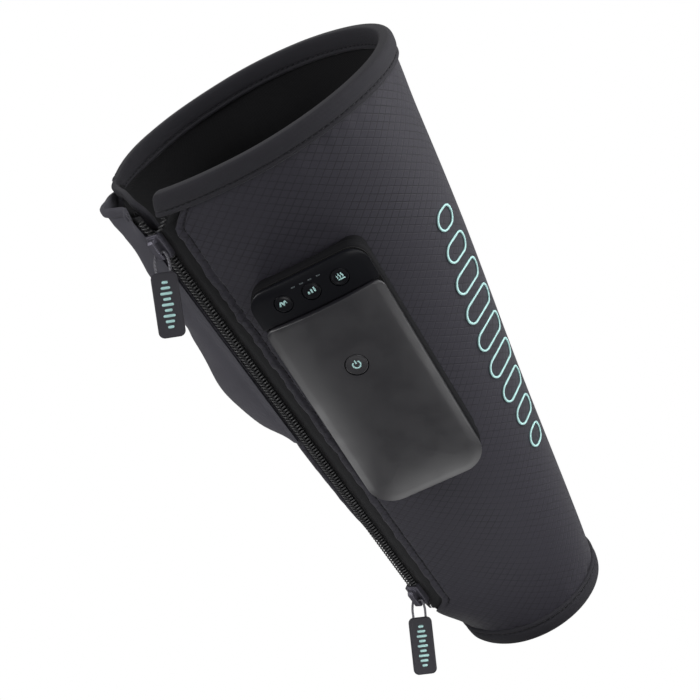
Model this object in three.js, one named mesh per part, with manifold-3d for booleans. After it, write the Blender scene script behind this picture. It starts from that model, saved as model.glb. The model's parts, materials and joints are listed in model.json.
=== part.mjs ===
// A padded compression sleeve for the calf, with its cordless air pump on the front.
// Millimetres, +Z up the leg, the front of the shin towards -Y, the zip on the -X side.
import * as THREE from "three";
import { mergeVertices } from "three/addons/utils/BufferGeometryUtils.js";
import Module from "manifold-3d";

const wasm = await Module();
wasm.setup();

// Sleeve
const sleeveLength = 360;
const rimHalfWidth = 85.5;
const rimHalfDepth = 64;
const rimDip = 4.5; // how far the front of the rim lies below its middle
const hemHalfWidth = 43.5;
const hemHalfDepth = 44;
const clearance = 0.3;
const fabricThickness = 1;
const foamThickness = 3;
const bladderThickness = 2.4;
const heaterThickness = 0.6;
const liningThickness = 0.8;
const rimWallShare = 0.45; // the wall is drawn down to this share of its depth under the bindings
const wallRampHeight = 20;
const bindingHeight = 11;
const bindingThickness = 1.2;
const turnSteps = 60;

// The crest that the closed zip pulls the wall out to
const crestAngle = 207; // at the rim
const crestTurnAngle = 4; // how much further round it lies at the foot of the zip
const crestFrontAngle = 24; // degrees over which the crest fades towards the front
const crestBackAngle = 30; // and towards the back, at the foot of the zip
const crestBackAngleAtRim = 8;
const crestAtZipEnd = 13;
const crestAtRim = 12.3;
const crestAtHem = 1.5;
const crestFadeLow = 8;
const crestFadeHigh = 42;

// Zip
const zipEndAngle = 211;
const zipRimAngle = 219.5;
const zipEndHeight = 46;
const frontTapeWidth = 12; // from the middle of the chain to the tape's sewn edge
const backTapeWidth = 6;
const zipTapeThickness = 0.7;
const zipCoilWidth = 2.8;
const zipCoilHeight = 2.2;
const zipPartHeight = 20; // below the rim, where the two sides part above the slider
const frontPartWidth = 20; // how far each side leans away at the rim
const backPartWidth = 2;
const bindingGapWidth = 10; // the front end of the rim binding, from the middle of the chain
const flapThickness = 1;
const flapDrop = 44; // how far the guard flap's bound edge falls from the rim
const flapDropShares = [0, 0, 0.08, 0.45, 0.75, 0.92, 1]; // from its back edge to its front edge
const slotDepth = 30;

// Sliders and pulls
const sliderLength = 15;
const sliderWidth = 10.7;
const sliderNoseWidth = 7.6;
const sliderPlate = 1.6;
const sliderLip = 1.2;
const crownWidth = 3.7;
const crownRise = 3.9;
const crownBar = 1.4;
const crownFoot = 2.6;
const cordRadius = 0.7;
const cordSpan = 7.4;
const cordReach = 9.4;
const tabLength = 34;
const tabWidth = 14;
const tabThickness = 3;
const tabCorner = 3.2;
const tabEdge = 0.8;
const upperPullAngle = 38;
const lowerPullAngle = 42;
const pullTwistAngle = 42;
const lowerSliderRise = 3;

// Gusset
const gussetStart = 186;
const gussetFromAngle = 171;
const gussetToAngle = 210;
const gussetReach = 17;
const gussetLeanShare = 0.9; // below 1 the loop bulges nearer to the zip
const gussetSheet = 1.4;
const gussetLeast = 1.6;
const gussetPocketStart = 222;
const gussetBindingHeight = 8;
// Share of the gusset's length, and of its reach, from its foot to its top
const gussetShares = [
  [0, 0.08],
  [0.08, 0.73],
  [0.2, 1],
  [0.36, 0.85],
  [0.62, 0.46],
  [0.85, 0.32],
  [1, 0.38],
];

// Controller
const boxFromRim = 139.5; // from the rim down to its middle
const boxWidth = 68;
const boxLength = 150;
const boxTopCorner = 10;
const boxFootCorner = 14;
const boxWall = 2;
const dockInset = 2;
const dockThickness = 2;
const rearDepth = 8.5;
const gasketThickness = 0.6;
const gasketWidth = 1.2;
const faceDepth = 8.2;
const faceEdge = 3.2;
const coverTopCorner = 5.5;
const panelLength = 21;
const panelDrop = 2.4; // how far the control panel lies below the cover's face
const panelGroove = 0.4;
const keySpacing = 16.2;
const keyRadius = 5;
const powerRadius = 6.2;
const keyFlange = 0.5;
const keyFlangeThickness = 0.8;
const keyDish = 0.5;
const keyTravel = 0.8;
const keyFromTop = 10.9;
const powerFromBoardFoot = 25.2;
const keyRimWidth = 0.6;
const keyRimDepth = 0.5;
const lightFromTop = 4.6;
const lightSpacing = 4.8;
const lightLength = 2.4;
const lightHeight = 0.9;
const lightCount = 4;
const lightBar = 0.8;
const lightBarRise = 0.4; // the bar behind the windows sits above their lower edge, clear of the keys
const boardWidth = 46;
const boardThickness = 1.2;
const switchSize = 6.2;
const switchHeight = 1.8;
const batteryWidth = 44;
const batteryInset = 21; // how much shorter than the board it is
const pumpFromValves = 17.3;
const batteryThickness = 5;
const batteryCorner = 3;
const motorRadius = 6;
const motorLength = 24;
const shaftRadius = 1;
const eccentricRadius = 4;
const eccentricThickness = 4;
const eccentricOffset = 1;
const headWidth = 21;
const headHeight = 20;
const headDepth = 12.4;
const valveCount = 3;
const valveWidth = 11;
const valveHeight = 10.5;
const valveDepth = 9;
const valveSpacing = 17;
const valveNozzle = 2;
const manifoldWidth = 46;
const manifoldHeight = 6;
const manifoldDepth = 6.5;
const socketWidth = 8.9;
const socketHeight = 3.2;
const socketLength = 7;
const socketWall = 0.5;
const socketTongue = 0.7;
const screwRadius = 1.25;
const screwHeadRadius = 2.6;
const screwHeadHeight = 1;
const screwLength = 10;
const bossRadius = 3.1;
const bossInset = 5.6;
const connectorRadius = 4;
const connectorBore = 2.5;
const hoseWidth = 5;
const hoseThickness = 2.4;
const upperHoseLength = 89.5;
const lowerHoseLength = 34;

// Air bladders and heating pad, by their lowest and highest edge
const bladderGap = 8;
const bladderFromRim = 26;
const lowerBladderHeight = 82;
const upperBladderHeight = 90;
const lowerBladder = [zipEndHeight, zipEndHeight + lowerBladderHeight];
const upperBladder = [sleeveLength - bladderFromRim - upperBladderHeight, sleeveLength - bladderFromRim];
const middleBladder = [lowerBladder[1] + bladderGap, upperBladder[0] - bladderGap];
const bladderFromStep = 5;
const bladderToStep = 57;
const heaterFromRim = 60;
const heaterHeight = 150;
const heaterSpan = [sleeveLength - heaterFromRim - heaterHeight, sleeveLength - heaterFromRim];
const heaterFromAngle = 45;
const heaterToAngle = 135;

const overrun = 2; // how far a cutting tool runs past what it cuts
const roundSides = 24;
const smallSides = 12;
const cornerSegments = 4;
const edgeSegments = 3;
const cordSides = 8;
const cordSteps = 16;
const colour = (hex) => new THREE.Color(hex);
const finishes = {
  fabric: { color: colour("#3b3a42"), roughness: 0.85, metalness: 0 },
  binding: { color: colour("#29282d"), roughness: 0.9, metalness: 0 },
  lining: { color: colour("#141416"), roughness: 0.9, metalness: 0 },
  foam: { color: colour("#4b4b50"), roughness: 1, metalness: 0 },
  bladder: { color: colour("#6f7478"), roughness: 0.5, metalness: 0 },
  zipTape: { color: colour("#1c1c20"), roughness: 0.8, metalness: 0 },
  zipCoil: { color: colour("#161619"), roughness: 0.4, metalness: 0 },
  slider: { color: colour("#1b1b1e"), roughness: 0.35, metalness: 0.6 },
  cover: { color: colour("#333237"), roughness: 0.5, metalness: 0 },
  glossPanel: { color: colour("#0b0b0e"), roughness: 0.12, metalness: 0 },
  tab: { color: colour("#2c2c30"), roughness: 0.6, metalness: 0 },
  light: { color: colour("#bfeceb"), roughness: 0.3, metalness: 0 },
  board: { color: colour("#1d5b36"), roughness: 0.5, metalness: 0 },
  cell: { color: colour("#8c9096"), roughness: 0.5, metalness: 0.2 },
  steel: { color: colour("#b4b6ba"), roughness: 0.35, metalness: 0.9 },
  innerPlastic: { color: colour("#d8d8d4"), roughness: 0.5, metalness: 0 },
  rubber: { color: colour("#202022"), roughness: 0.95, metalness: 0 },
};

const radians = THREE.MathUtils.degToRad;
const lerp = THREE.MathUtils.lerp;
const smoothstep = THREE.MathUtils.smoothstep;

// Solids

// A closed geometry as a solid that can be cut and joined, moved by a matrix if one is given.
function solid(geometry, matrix) {
  const bare = geometry.index ? geometry.toNonIndexed() : geometry.clone();
  bare.deleteAttribute("normal");
  bare.deleteAttribute("uv");
  if (matrix) bare.applyMatrix4(matrix);
  const merged = mergeVertices(bare, clearance / 1000);
  return new wasm.Manifold(
    new wasm.Mesh({
      numProp: 3,
      vertProperties: merged.attributes.position.array,
      triVerts: new Uint32Array(merged.index.array),
    }),
  );
}

function geometryOf(body) {
  const mesh = body.getMesh();
  const geometry = new THREE.BufferGeometry();
  const corners = new Float32Array(mesh.numVert * 3);
  for (let i = 0; i < mesh.numVert; i++) {
    const start = i * mesh.numProp;
    corners.set(mesh.vertProperties.subarray(start, start + 3), i * 3);
  }
  geometry.setAttribute("position", new THREE.BufferAttribute(corners, 3));
  geometry.setIndex(new THREE.BufferAttribute(mesh.triVerts, 1));
  geometry.computeVertexNormals();
  return geometry;
}

function piece(name, shape, finish) {
  const geometry = shape.isBufferGeometry ? shape : geometryOf(shape);
  const mesh = new THREE.Mesh(geometry, new THREE.MeshStandardMaterial(finish));
  mesh.name = name;
  return mesh;
}

const placed = (x, y, z) => new THREE.Matrix4().makeTranslation(x, y, z);

// A box by its lowest corner and its size.
function box(x, y, z, width, height, depth) {
  const geometry = new THREE.BoxGeometry(width, height, depth);
  return solid(geometry, placed(x + width / 2, y + height / 2, z + depth / 2));
}

// A round bar along Z from its foot.
function bar(x, y, z, radius, length, sides = roundSides) {
  const geometry = new THREE.CylinderGeometry(radius, radius, length, sides);
  geometry.rotateX(Math.PI / 2);
  return solid(geometry, placed(x, y, z + length / 2));
}

// A closed outline of [s, t] corners carried along stations; place(station, s, t) gives each corner's point.
function sweep(outline, stations, place, closed) {
  const points = outline.map(([s, t]) => new THREE.Vector2(s, t));
  if (THREE.ShapeUtils.isClockWise(points)) points.reverse();
  const count = points.length;
  const positions = [];
  for (const station of stations) {
    for (const point of points) positions.push(...place(station, point.x, point.y).toArray());
  }
  const triangles = [];
  const runs = closed ? stations.length : stations.length - 1;
  for (let i = 0; i < runs; i++) {
    const here = i * count;
    const next = ((i + 1) % stations.length) * count;
    for (let j = 0; j < count; j++) {
      const k = (j + 1) % count;
      // Every face is split along the same way up, so that layers laid on each other stay apart.
      if (points[k].y > points[j].y) {
        triangles.push([here + j, here + k, next + k], [here + j, next + k, next + j]);
      } else {
        triangles.push([here + j, here + k, next + j], [here + k, next + k, next + j]);
      }
    }
  }
  if (!closed) {
    const last = (stations.length - 1) * count;
    for (const [a, b, c] of THREE.ShapeUtils.triangulateShape(points, [])) {
      triangles.push([c, b, a], [last + a, last + b, last + c]);
    }
  }
  const corner = (i) => new THREE.Vector3().fromArray(positions, i * 3);
  const volume = triangles.reduce((sum, [a, b, c]) => sum + corner(a).dot(corner(b).cross(corner(c))), 0);
  if (volume < 0) triangles.forEach((triangle) => triangle.reverse());
  const geometry = new THREE.BufferGeometry();
  geometry.setAttribute("position", new THREE.Float32BufferAttribute(positions, 3));
  geometry.setIndex(triangles.flat());
  geometry.computeVertexNormals();
  return geometry;
}

// The sleeve's wall

function crestHeight(height) {
  if (height >= zipEndHeight) {
    const share = (height - zipEndHeight) / (sleeveLength - zipEndHeight);
    return lerp(crestAtZipEnd, crestAtRim, share);
  }
  return lerp(crestAtHem, crestAtZipEnd, smoothstep(height, crestFadeLow, crestFadeHigh));
}

// The crest drifts round the leg on its way down to the foot of the zip.
function crestAngleAt(height) {
  const share = (sleeveLength - height) / (sleeveLength - zipEndHeight);
  return crestAngle + crestTurnAngle * THREE.MathUtils.clamp(share, 0, 1);
}

// Distance of the outer surface from the leg's middle line.
function wallRadius(angle, height) {
  const share = height / sleeveLength;
  const halfWidth = lerp(hemHalfWidth, rimHalfWidth, share);
  const halfDepth = lerp(hemHalfDepth, rimHalfDepth, share);
  const turn = radians(angle);
  const oval = 1 / Math.hypot(Math.cos(turn) / halfWidth, Math.sin(turn) / halfDepth);
  const away = THREE.MathUtils.euclideanModulo(angle - crestAngleAt(height) + 180, 360) - 180;
  const backSpread = lerp(crestBackAngle, crestBackAngleAtRim, share);
  const spread = away > 0 ? crestFrontAngle : backSpread;
  return oval + crestHeight(height) * Math.exp(-Math.abs(away) / spread);
}

// A point at a depth inside the outer surface; the rim is tilted, so heights shift with it.
function wallPoint(angle, depth, height) {
  const radius = wallRadius(angle, height) - depth;
  const turn = radians(angle);
  const dip = rimDip * Math.sin(turn) * (height / sleeveLength);
  return new THREE.Vector3(radius * Math.cos(turn), radius * Math.sin(turn), height + dip);
}

// The wall thins under the bindings at both ends.
function wallShare(height) {
  const fromEnd = Math.min(height, sleeveLength - height) - bindingHeight - clearance;
  return lerp(rimWallShare, 1, THREE.MathUtils.clamp(fromEnd / wallRampHeight, 0, 1));
}
const layerPoint = (angle, depth, height) => wallPoint(angle, depth * wallShare(height), height);

const edgeGap = bindingThickness + clearance;
const wallRows = [
  edgeGap,
  bindingHeight + clearance,
  bindingHeight + clearance + wallRampHeight,
  zipEndHeight,
  sleeveLength / 2,
  sleeveLength - bindingHeight - clearance - wallRampHeight,
  sleeveLength - bindingHeight - clearance,
  sleeveLength - edgeGap,
];
const rowsBetween = (low, high) => [low, ...wallRows.filter((row) => row > low && row < high), high];
const stepAngle = 360 / turnSteps;
const wallAngles = (from, to) => {
  const angles = [];
  for (let i = from; i <= to; i++) angles.push(crestAngle + i * stepAngle);
  return angles;
};
const wholeTurn = wallAngles(0, turnSteps - 1);

function bandOutline(outer, inner, low, high) {
  const rows = rowsBetween(low, high);
  return [...rows.map((row) => [outer, row]), ...[...rows].reverse().map((row) => [inner, row])];
}

function layer(outer, thickness, low, high, angles = wholeTurn, place = layerPoint) {
  const outline = bandOutline(outer, outer + thickness, low, high);
  return sweep(outline, angles, place, angles === wholeTurn);
}

const foamDepth = fabricThickness + clearance;
const bladderDepth = foamDepth + foamThickness + clearance;
const heaterDepth = bladderDepth + bladderThickness + clearance;
const liningDepth = heaterDepth + heaterThickness + clearance;
const wallDepth = liningDepth + liningThickness;

// The zip's own frame: x towards the front of the sleeve, y up the chain, z outwards.
const zipFoot = wallPoint(zipEndAngle, 0, zipEndHeight);
const zipTop = wallPoint(zipRimAngle, 0, sleeveLength);
const zipLength = zipTop.distanceTo(zipFoot);
const zipUp = zipTop.clone().sub(zipFoot).normalize();
const zipMiddle = (zipEndHeight + sleeveLength) / 2;
const zipMiddleAngle = (zipEndAngle + zipRimAngle) / 2;
const acrossZip = wallPoint(zipMiddleAngle + stepAngle / 2, 0, zipMiddle).sub(
  wallPoint(zipMiddleAngle - stepAngle / 2, 0, zipMiddle),
);
const zipOut = acrossZip.clone().cross(zipUp).normalize();
const zipSide = zipUp.clone().cross(zipOut);
const zipFrame = new THREE.Matrix4().makeBasis(zipSide, zipUp, zipOut).setPosition(zipFoot);

function zipStrip(outline, low, high) {
  const shape = new THREE.Shape(outline.map(([x, y]) => new THREE.Vector2(x, y)));
  const geometry = new THREE.ExtrudeGeometry(shape, { depth: high - low, bevelEnabled: false });
  geometry.translate(0, 0, low);
  return geometry;
}

// The slot between the two fabric edges; its sides lean apart above the slider.
const zipPart = zipLength - zipPartHeight;
const partShare = (along) => Math.max(0, along - zipPart) / zipPartHeight;
const slotTop = zipLength + bindingHeight;
const slotOutline = [
  [-backTapeWidth - clearance, -clearance],
  [frontTapeWidth + clearance, -clearance],
  [frontTapeWidth + clearance, zipPart],
  [frontTapeWidth + clearance + frontPartWidth * partShare(slotTop), slotTop],
  [-backTapeWidth - clearance - backPartWidth * partShare(slotTop), slotTop],
  [-backTapeWidth - clearance, zipPart],
];
const rimGapOutline = [
  [-backTapeWidth * 2, zipPart],
  [bindingGapWidth, zipPart],
  [bindingGapWidth, slotTop + overrun],
  [-backTapeWidth * 2, slotTop + overrun],
];
const rimGap = solid(zipStrip(rimGapOutline, -slotDepth, slotDepth), zipFrame);
const zipSlot = solid(zipStrip(slotOutline, -slotDepth, slotDepth), zipFrame);

// The controller's own frame: x to the right, y up the sleeve, z out of the shin.
const frontAngle = 270;
const frontSlope = Math.atan((rimHalfDepth - hemHalfDepth) / sleeveLength);
const boxFrame = new THREE.Matrix4()
  .makeRotationX(Math.PI / 2 + frontSlope)
  .setPosition(wallPoint(frontAngle, 0, sleeveLength - boxFromRim));

const boxTop = boxLength / 2;
const panelLine = boxTop - panelLength;
const rearBack = dockThickness + clearance * 2;
const rearFront = rearBack + rearDepth;
const faceBack = rearFront + gasketThickness + clearance * 2;
const faceFront = faceBack + faceDepth;
const panelFront = faceFront - panelDrop;
const wholeFace = { top: boxTop, topCorner: boxTopCorner };
const coverFace = { top: panelLine - panelGroove, topCorner: coverTopCorner };
const floorTop = rearBack + boxWall;
const innerFloor = floorTop + clearance;
const valveTop = -boxTop + boxWall + socketLength + manifoldHeight + valveHeight + clearance * 6;
const manifoldY = valveTop - valveHeight - clearance * 2 - manifoldHeight;
const connectorY = manifoldY + manifoldHeight / 2;
const connectorFoot = -(foamDepth + foamThickness);
const boardTop = boxTop - boxWall - clearance * 4;
const boardFoot = valveTop + pumpFromValves + headHeight + clearance * 4;
const boardLength = boardTop - boardFoot;

// Where the flat hoses start above and below the connector, and where they end
const connectorHeight = boxFrame.elements[14] + connectorY * Math.cos(frontSlope);
const hoseGap = connectorRadius + clearance * 2;
const upperHose = [connectorHeight + hoseGap + rimDip, connectorHeight + hoseGap + rimDip + upperHoseLength];
const lowerHose = [connectorHeight - hoseGap - lowerHoseLength, connectorHeight - hoseGap];

// Sleeve pieces

function sleeve() {
  const group = new THREE.Group();
  const low = edgeGap;
  const high = sleeveLength - edgeGap;
  const connectorHole = solid(
    new THREE.CylinderGeometry(connectorRadius + clearance, connectorRadius + clearance, slotDepth, roundSides)
      .rotateX(Math.PI / 2),
    boxFrame.clone().multiply(placed(0, connectorY, 0)),
  );
  const outer = solid(layer(0, fabricThickness, low, high)).subtract(zipSlot).subtract(connectorHole);
  const hoseSlot = solid(
    sweep(
      bandOutline(0, bladderDepth, lowerHose[0] - clearance, upperHose[1] + clearance),
      [-1, 1].map((side) => side * (hoseWidth / 2 + clearance)),
      (x, depth, height) => layerPoint(frontAngle, depth, height).setX(x),
    ),
  );
  const foam = solid(layer(foamDepth, foamThickness, low, high))
    .subtract(zipSlot)
    .subtract(connectorHole)
    .subtract(hoseSlot);
  const lining = solid(layer(liningDepth, liningThickness, low, high)).subtract(zipSlot);
  group.add(piece("outer_fabric", outer, finishes.fabric));
  group.add(piece("foam_panel", foam, finishes.foam));
  group.add(piece("inner_lining", lining, finishes.lining));

  const bladderAngles = wallAngles(bladderFromStep, bladderToStep);
  const bladders = { lower_air_bladder: lowerBladder, middle_air_bladder: middleBladder, upper_air_bladder: upperBladder };
  for (const [name, [foot, top]] of Object.entries(bladders)) {
    const geometry = layer(bladderDepth, bladderThickness, foot, top, bladderAngles);
    group.add(piece(name, geometry, finishes.bladder));
  }
  const heaterAngles = wholeTurn
    .map((angle) => angle - 360)
    .filter((angle) => angle >= heaterFromAngle && angle <= heaterToAngle);
  const heater = layer(heaterDepth, heaterThickness, ...heaterSpan, heaterAngles);
  group.add(piece("heating_pad", heater, finishes.bladder));
  group.add(...hoses());
  return group;
}

// Flat hoses in the foam's groove, from the connector to the upper and the lower bladder.
function hoses() {
  const depth = foamDepth + (foamThickness - hoseThickness) / 2;
  const runs = { upper_air_hose: upperHose, lower_air_hose: lowerHose };
  return Object.entries(runs).map(([name, [low, high]]) => {
    const geometry = sweep(
      bandOutline(depth, depth + hoseThickness, low, high),
      [-hoseWidth / 2, hoseWidth / 2],
      (x, inward, height) => layerPoint(frontAngle, inward, height).setX(x),
    );
    return piece(name, geometry, finishes.rubber);
  });
}

// Tape folded over an end of the wall, as an upturned channel.
function binding(atRim) {
  const inside = wallDepth * rimWallShare + clearance;
  const outline = [
    [-clearance - bindingThickness, 0],
    [inside + bindingThickness, 0],
    [inside + bindingThickness, bindingHeight],
    [inside, bindingHeight],
    [inside, bindingThickness],
    [-clearance, bindingThickness],
    [-clearance, bindingHeight],
    [-clearance - bindingThickness, bindingHeight],
  ];
  const place = (angle, depth, inward) => wallPoint(angle, depth, atRim ? sleeveLength - inward : inward);
  return solid(sweep(outline, wholeTurn, place, true));
}

function bindings() {
  return [
    piece("top_binding", binding(true).subtract(rimGap), finishes.binding),
    piece("bottom_binding", binding(false), finishes.binding),
  ];
}

// The flap behind the zip, whose bound edge falls from the rim towards the front.
function guardFlap() {
  const fromStep = -2;
  const toStep = fromStep + flapDropShares.length - 1;
  const foot = zipEndHeight;
  const top = (angle) => {
    const step = Math.round((angle - crestAngle) / stepAngle) - fromStep;
    return sleeveLength - bindingHeight - flapDrop * flapDropShares[step];
  };
  const depth = wallDepth + clearance * 2;
  const rowShares = [0, 0.25, 0.5, 0.75, 1];
  const outline = [
    ...rowShares.map((share) => [depth, share]),
    ...[...rowShares].reverse().map((share) => [depth + flapThickness, share]),
  ];
  const place = (angle, inward, share) => wallPoint(angle, inward, lerp(foot, top(angle), share));
  return piece("zip_guard_flap", sweep(outline, wallAngles(fromStep, toStep), place), finishes.lining);
}

// Gusset: a wedge of folded fabric behind the crest, open at the top as a pocket

function gussetRise(height) {
  const share = THREE.MathUtils.clamp((height - gussetStart) / (sleeveLength - gussetStart), 0, 1);
  const next = Math.max(1, gussetShares.findIndex(([at]) => at >= share));
  const [lowAt, lowReach] = gussetShares[next - 1];
  const [highAt, highReach] = gussetShares[next];
  return gussetReach * lerp(lowReach, highReach, (share - lowAt) / (highAt - lowAt));
}

function gussetSwell(angle, height) {
  const share = (gussetToAngle - angle) / (gussetToAngle - gussetFromAngle);
  return gussetRise(height) * Math.sin(Math.PI * Math.pow(share, gussetLeanShare));
}

const gussetAngles = (from, to) => {
  const angles = [];
  for (let angle = from; angle <= to; angle += stepAngle / 2) angles.push(angle);
  return angles;
};

function gussetSolid(inset, low, high, from, to) {
  const angles = gussetAngles(from, to);
  const bends = gussetShares.map(([share]) => lerp(gussetStart, sleeveLength, share));
  const between = [...bends, ...wallRows].filter((row) => row > low + clearance && row < high - clearance);
  const rows = [low, ...between.sort((a, b) => a - b), high];
  const outline = [...rows.map((row) => [0, row]), ...[...rows].reverse().map((row) => [1, row])];
  const place = (angle, outward, height) => {
    const back = clearance * 2 + inset;
    const reach = Math.max(gussetLeast, gussetSwell(angle, height) + gussetLeast - inset * 2);
    return wallPoint(angle, -(back + reach * outward), height);
  };
  return solid(sweep(outline, angles, place));
}

function gusset() {
  const top = sleeveLength - bindingHeight - clearance * 2;
  const wedge = gussetSolid(0, gussetStart, top, gussetFromAngle, gussetToAngle).subtract(zipSlot);
  const pocketFrom = gussetFromAngle + stepAngle;
  const pocketTo = gussetToAngle - stepAngle / 2;
  const pocket = gussetSolid(gussetSheet, gussetPocketStart, top + overrun, pocketFrom, pocketTo);
  const trimFoot = top - gussetBindingHeight;
  const outline = [
    [0, trimFoot],
    [0, top],
    [1, top],
    [1, trimFoot],
  ];
  const trim = sweep(outline, gussetAngles(pocketFrom, pocketTo), (angle, outward, height) => {
    const back = clearance * 3 + gussetLeast + gussetSwell(angle, height);
    return wallPoint(angle, -(back + bindingThickness * outward), height);
  });
  return [
    piece("gusset_panel", wedge.subtract(pocket), finishes.fabric),
    piece("gusset_binding", trim, finishes.binding),
  ];
}

// Zip pieces, in the zip's frame

function zipSideOutline(side, near, far, top) {
  const lean = side * (side > 0 ? frontPartWidth : backPartWidth) * partShare(top);
  const outline = [
    [side * near, 0],
    [side * far, 0],
    [side * far, zipPart],
    [side * far + lean, top],
    [side * near + lean, top],
    [side * near, zipPart],
  ];
  return side > 0 ? outline : outline.reverse();
}

function zipChain() {
  const top = zipLength - bindingHeight - edgeGap;
  const pieces = [];
  for (const [side, word] of [
    [1, "right"],
    [-1, "left"],
  ]) {
    const tapeWidth = side > 0 ? frontTapeWidth : backTapeWidth;
    const tape = zipSideOutline(side, clearance / 2, tapeWidth, top);
    pieces.push(piece(word + "_zip_tape", zipStrip(tape, -zipTapeThickness, 0), finishes.zipTape));
    const coil = zipSideOutline(side, clearance / 2, clearance / 2 + zipCoilWidth, top);
    const coilStrip = zipStrip(coil, clearance, clearance + zipCoilHeight);
    pieces.push(piece(word + "_zip_coil", coilStrip, finishes.zipCoil));
  }
  return pieces;
}

const sliderUnder = clearance + zipCoilHeight + clearance;
const sliderTop = sliderUnder + sliderPlate;
const crownInner = crownRise - crownBar;
const crownLength = sliderLength - crownFoot;
const pinLift = sliderTop + crownInner / 2;
const pinDrop = crownLength / 2 - crownFoot - cordRadius - clearance;

// Slider body: a plate over the coils with a lip down each side, and the crown that holds the pull.
function slider(name, along) {
  const half = sliderLength / 2;
  const plateShape = new THREE.Shape([
    new THREE.Vector2(-sliderNoseWidth / 2, -half),
    new THREE.Vector2(sliderNoseWidth / 2, -half),
    new THREE.Vector2(sliderWidth / 2, half * 0.2),
    new THREE.Vector2(sliderWidth / 2, half * 0.8),
    new THREE.Vector2(sliderNoseWidth / 2, half),
    new THREE.Vector2(-sliderNoseWidth / 2, half),
    new THREE.Vector2(-sliderWidth / 2, half * 0.8),
    new THREE.Vector2(-sliderWidth / 2, half * 0.2),
  ]);
  const lipFoot = clearance * 1.5;
  const channelHalf = zipCoilWidth + clearance * 1.5;
  const blockGeometry = new THREE.ExtrudeGeometry(plateShape, { depth: sliderTop - lipFoot, bevelEnabled: false });
  const channel = box(
    -channelHalf,
    -half - overrun,
    lipFoot - overrun,
    channelHalf * 2,
    sliderLength + overrun * 2,
    sliderUnder - lipFoot + overrun,
  );
  const lipWaist = channelHalf + sliderLip;
  const block = solid(blockGeometry, placed(0, 0, lipFoot)).subtract(channel);
  const archFoot = crownLength / 2;
  const arch = new THREE.Shape([
    new THREE.Vector2(-archFoot, -overrun / 4),
    new THREE.Vector2(archFoot, -overrun / 4),
    new THREE.Vector2(archFoot, crownRise * 0.7),
    new THREE.Vector2(archFoot - crownFoot / 2, crownRise),
    new THREE.Vector2(-archFoot + crownFoot / 2, crownRise),
    new THREE.Vector2(-archFoot, crownRise * 0.7),
  ]);
  const opening = new THREE.Path([
    new THREE.Vector2(-archFoot + crownFoot, 0),
    new THREE.Vector2(-archFoot + crownFoot, crownInner),
    new THREE.Vector2(archFoot - crownFoot, crownInner),
    new THREE.Vector2(archFoot - crownFoot, 0),
  ]);
  arch.holes.push(opening);
  const crownGeometry = new THREE.ExtrudeGeometry(arch, { depth: crownWidth, bevelEnabled: false });
  const upright = new THREE.Matrix4().makeBasis(
    new THREE.Vector3(0, 1, 0),
    new THREE.Vector3(0, 0, 1),
    new THREE.Vector3(1, 0, 0),
  );
  const crown = solid(crownGeometry, placed(-crownWidth / 2, 0, sliderTop).multiply(upright));
  const waist = box(-lipWaist, -half, lipFoot, lipWaist * 2, sliderLength, sliderTop - lipFoot);
  const mesh = piece(name, block.intersect(waist).add(crown), finishes.slider);
  mesh.position.set(0, along, 0);
  return mesh;
}

// Cord and tab, which hang from the crown and swing about the bar that the cord passes under.
function pull(word, along, lift) {
  const group = new THREE.Group();
  const pin = new THREE.Vector3(0, along - pinDrop, pinLift);
  const hang = new THREE.Euler(-radians(lift), radians(pullTwistAngle), 0);
  const frame = new THREE.Matrix4().makeRotationFromEuler(hang).setPosition(pin);
  const beside = crownWidth / 2 + cordRadius + clearance * 2;
  const leg = (side) => new THREE.Vector3((side * cordSpan) / 2, -cordReach, 0).applyMatrix4(frame);
  const knee = (side) => new THREE.Vector3((side * cordSpan) / 2, -cordReach / 2, 0).applyMatrix4(frame);
  const turn = (side) => new THREE.Vector3(pin.x + side * beside, pin.y, pin.z);
  const route = new THREE.CatmullRomCurve3([leg(1), knee(1), turn(1), pin, turn(-1), knee(-1), leg(-1)]);
  const sides = [];
  for (let i = 0; i < cordSides; i++) {
    const angle = (i / cordSides) * Math.PI * 2;
    sides.push(new THREE.Vector2(cordRadius * Math.cos(angle), cordRadius * Math.sin(angle)));
  }
  const section = new THREE.Shape(sides);
  const cord = new THREE.ExtrudeGeometry(section, { steps: cordSteps, extrudePath: route, bevelEnabled: false });
  group.add(piece(word + "_pull_cord", solid(cord), finishes.tab));

  const outline = roundedOutline(tabWidth - tabEdge * 2, tabLength - tabEdge * 2, tabCorner - tabEdge);
  const tab = new THREE.ExtrudeGeometry(outline, {
    depth: tabThickness - tabEdge * 2,
    bevelThickness: tabEdge,
    bevelSize: tabEdge,
    bevelSegments: 2,
    curveSegments: edgeSegments,
  });
  const hung = placed(0, -cordReach - clearance * 2 - tabLength / 2, tabEdge - tabThickness / 2);
  tab.applyMatrix4(frame.clone().multiply(hung));
  group.add(piece(word + "_pull_tab", solid(tab), finishes.tab));
  return group;
}

function zip() {
  const group = new THREE.Group();
  const upper = zipPart - sliderLength / 2;
  const lower = lowerSliderRise + sliderLength / 2;
  group.add(...zipChain());
  group.add(slider("upper_slider", upper), pull("upper", upper, upperPullAngle));
  group.add(slider("lower_slider", lower), pull("lower", lower, lowerPullAngle));
  group.applyMatrix4(zipFrame);
  return group;
}

// Controller pieces, in the controller's frame

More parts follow.
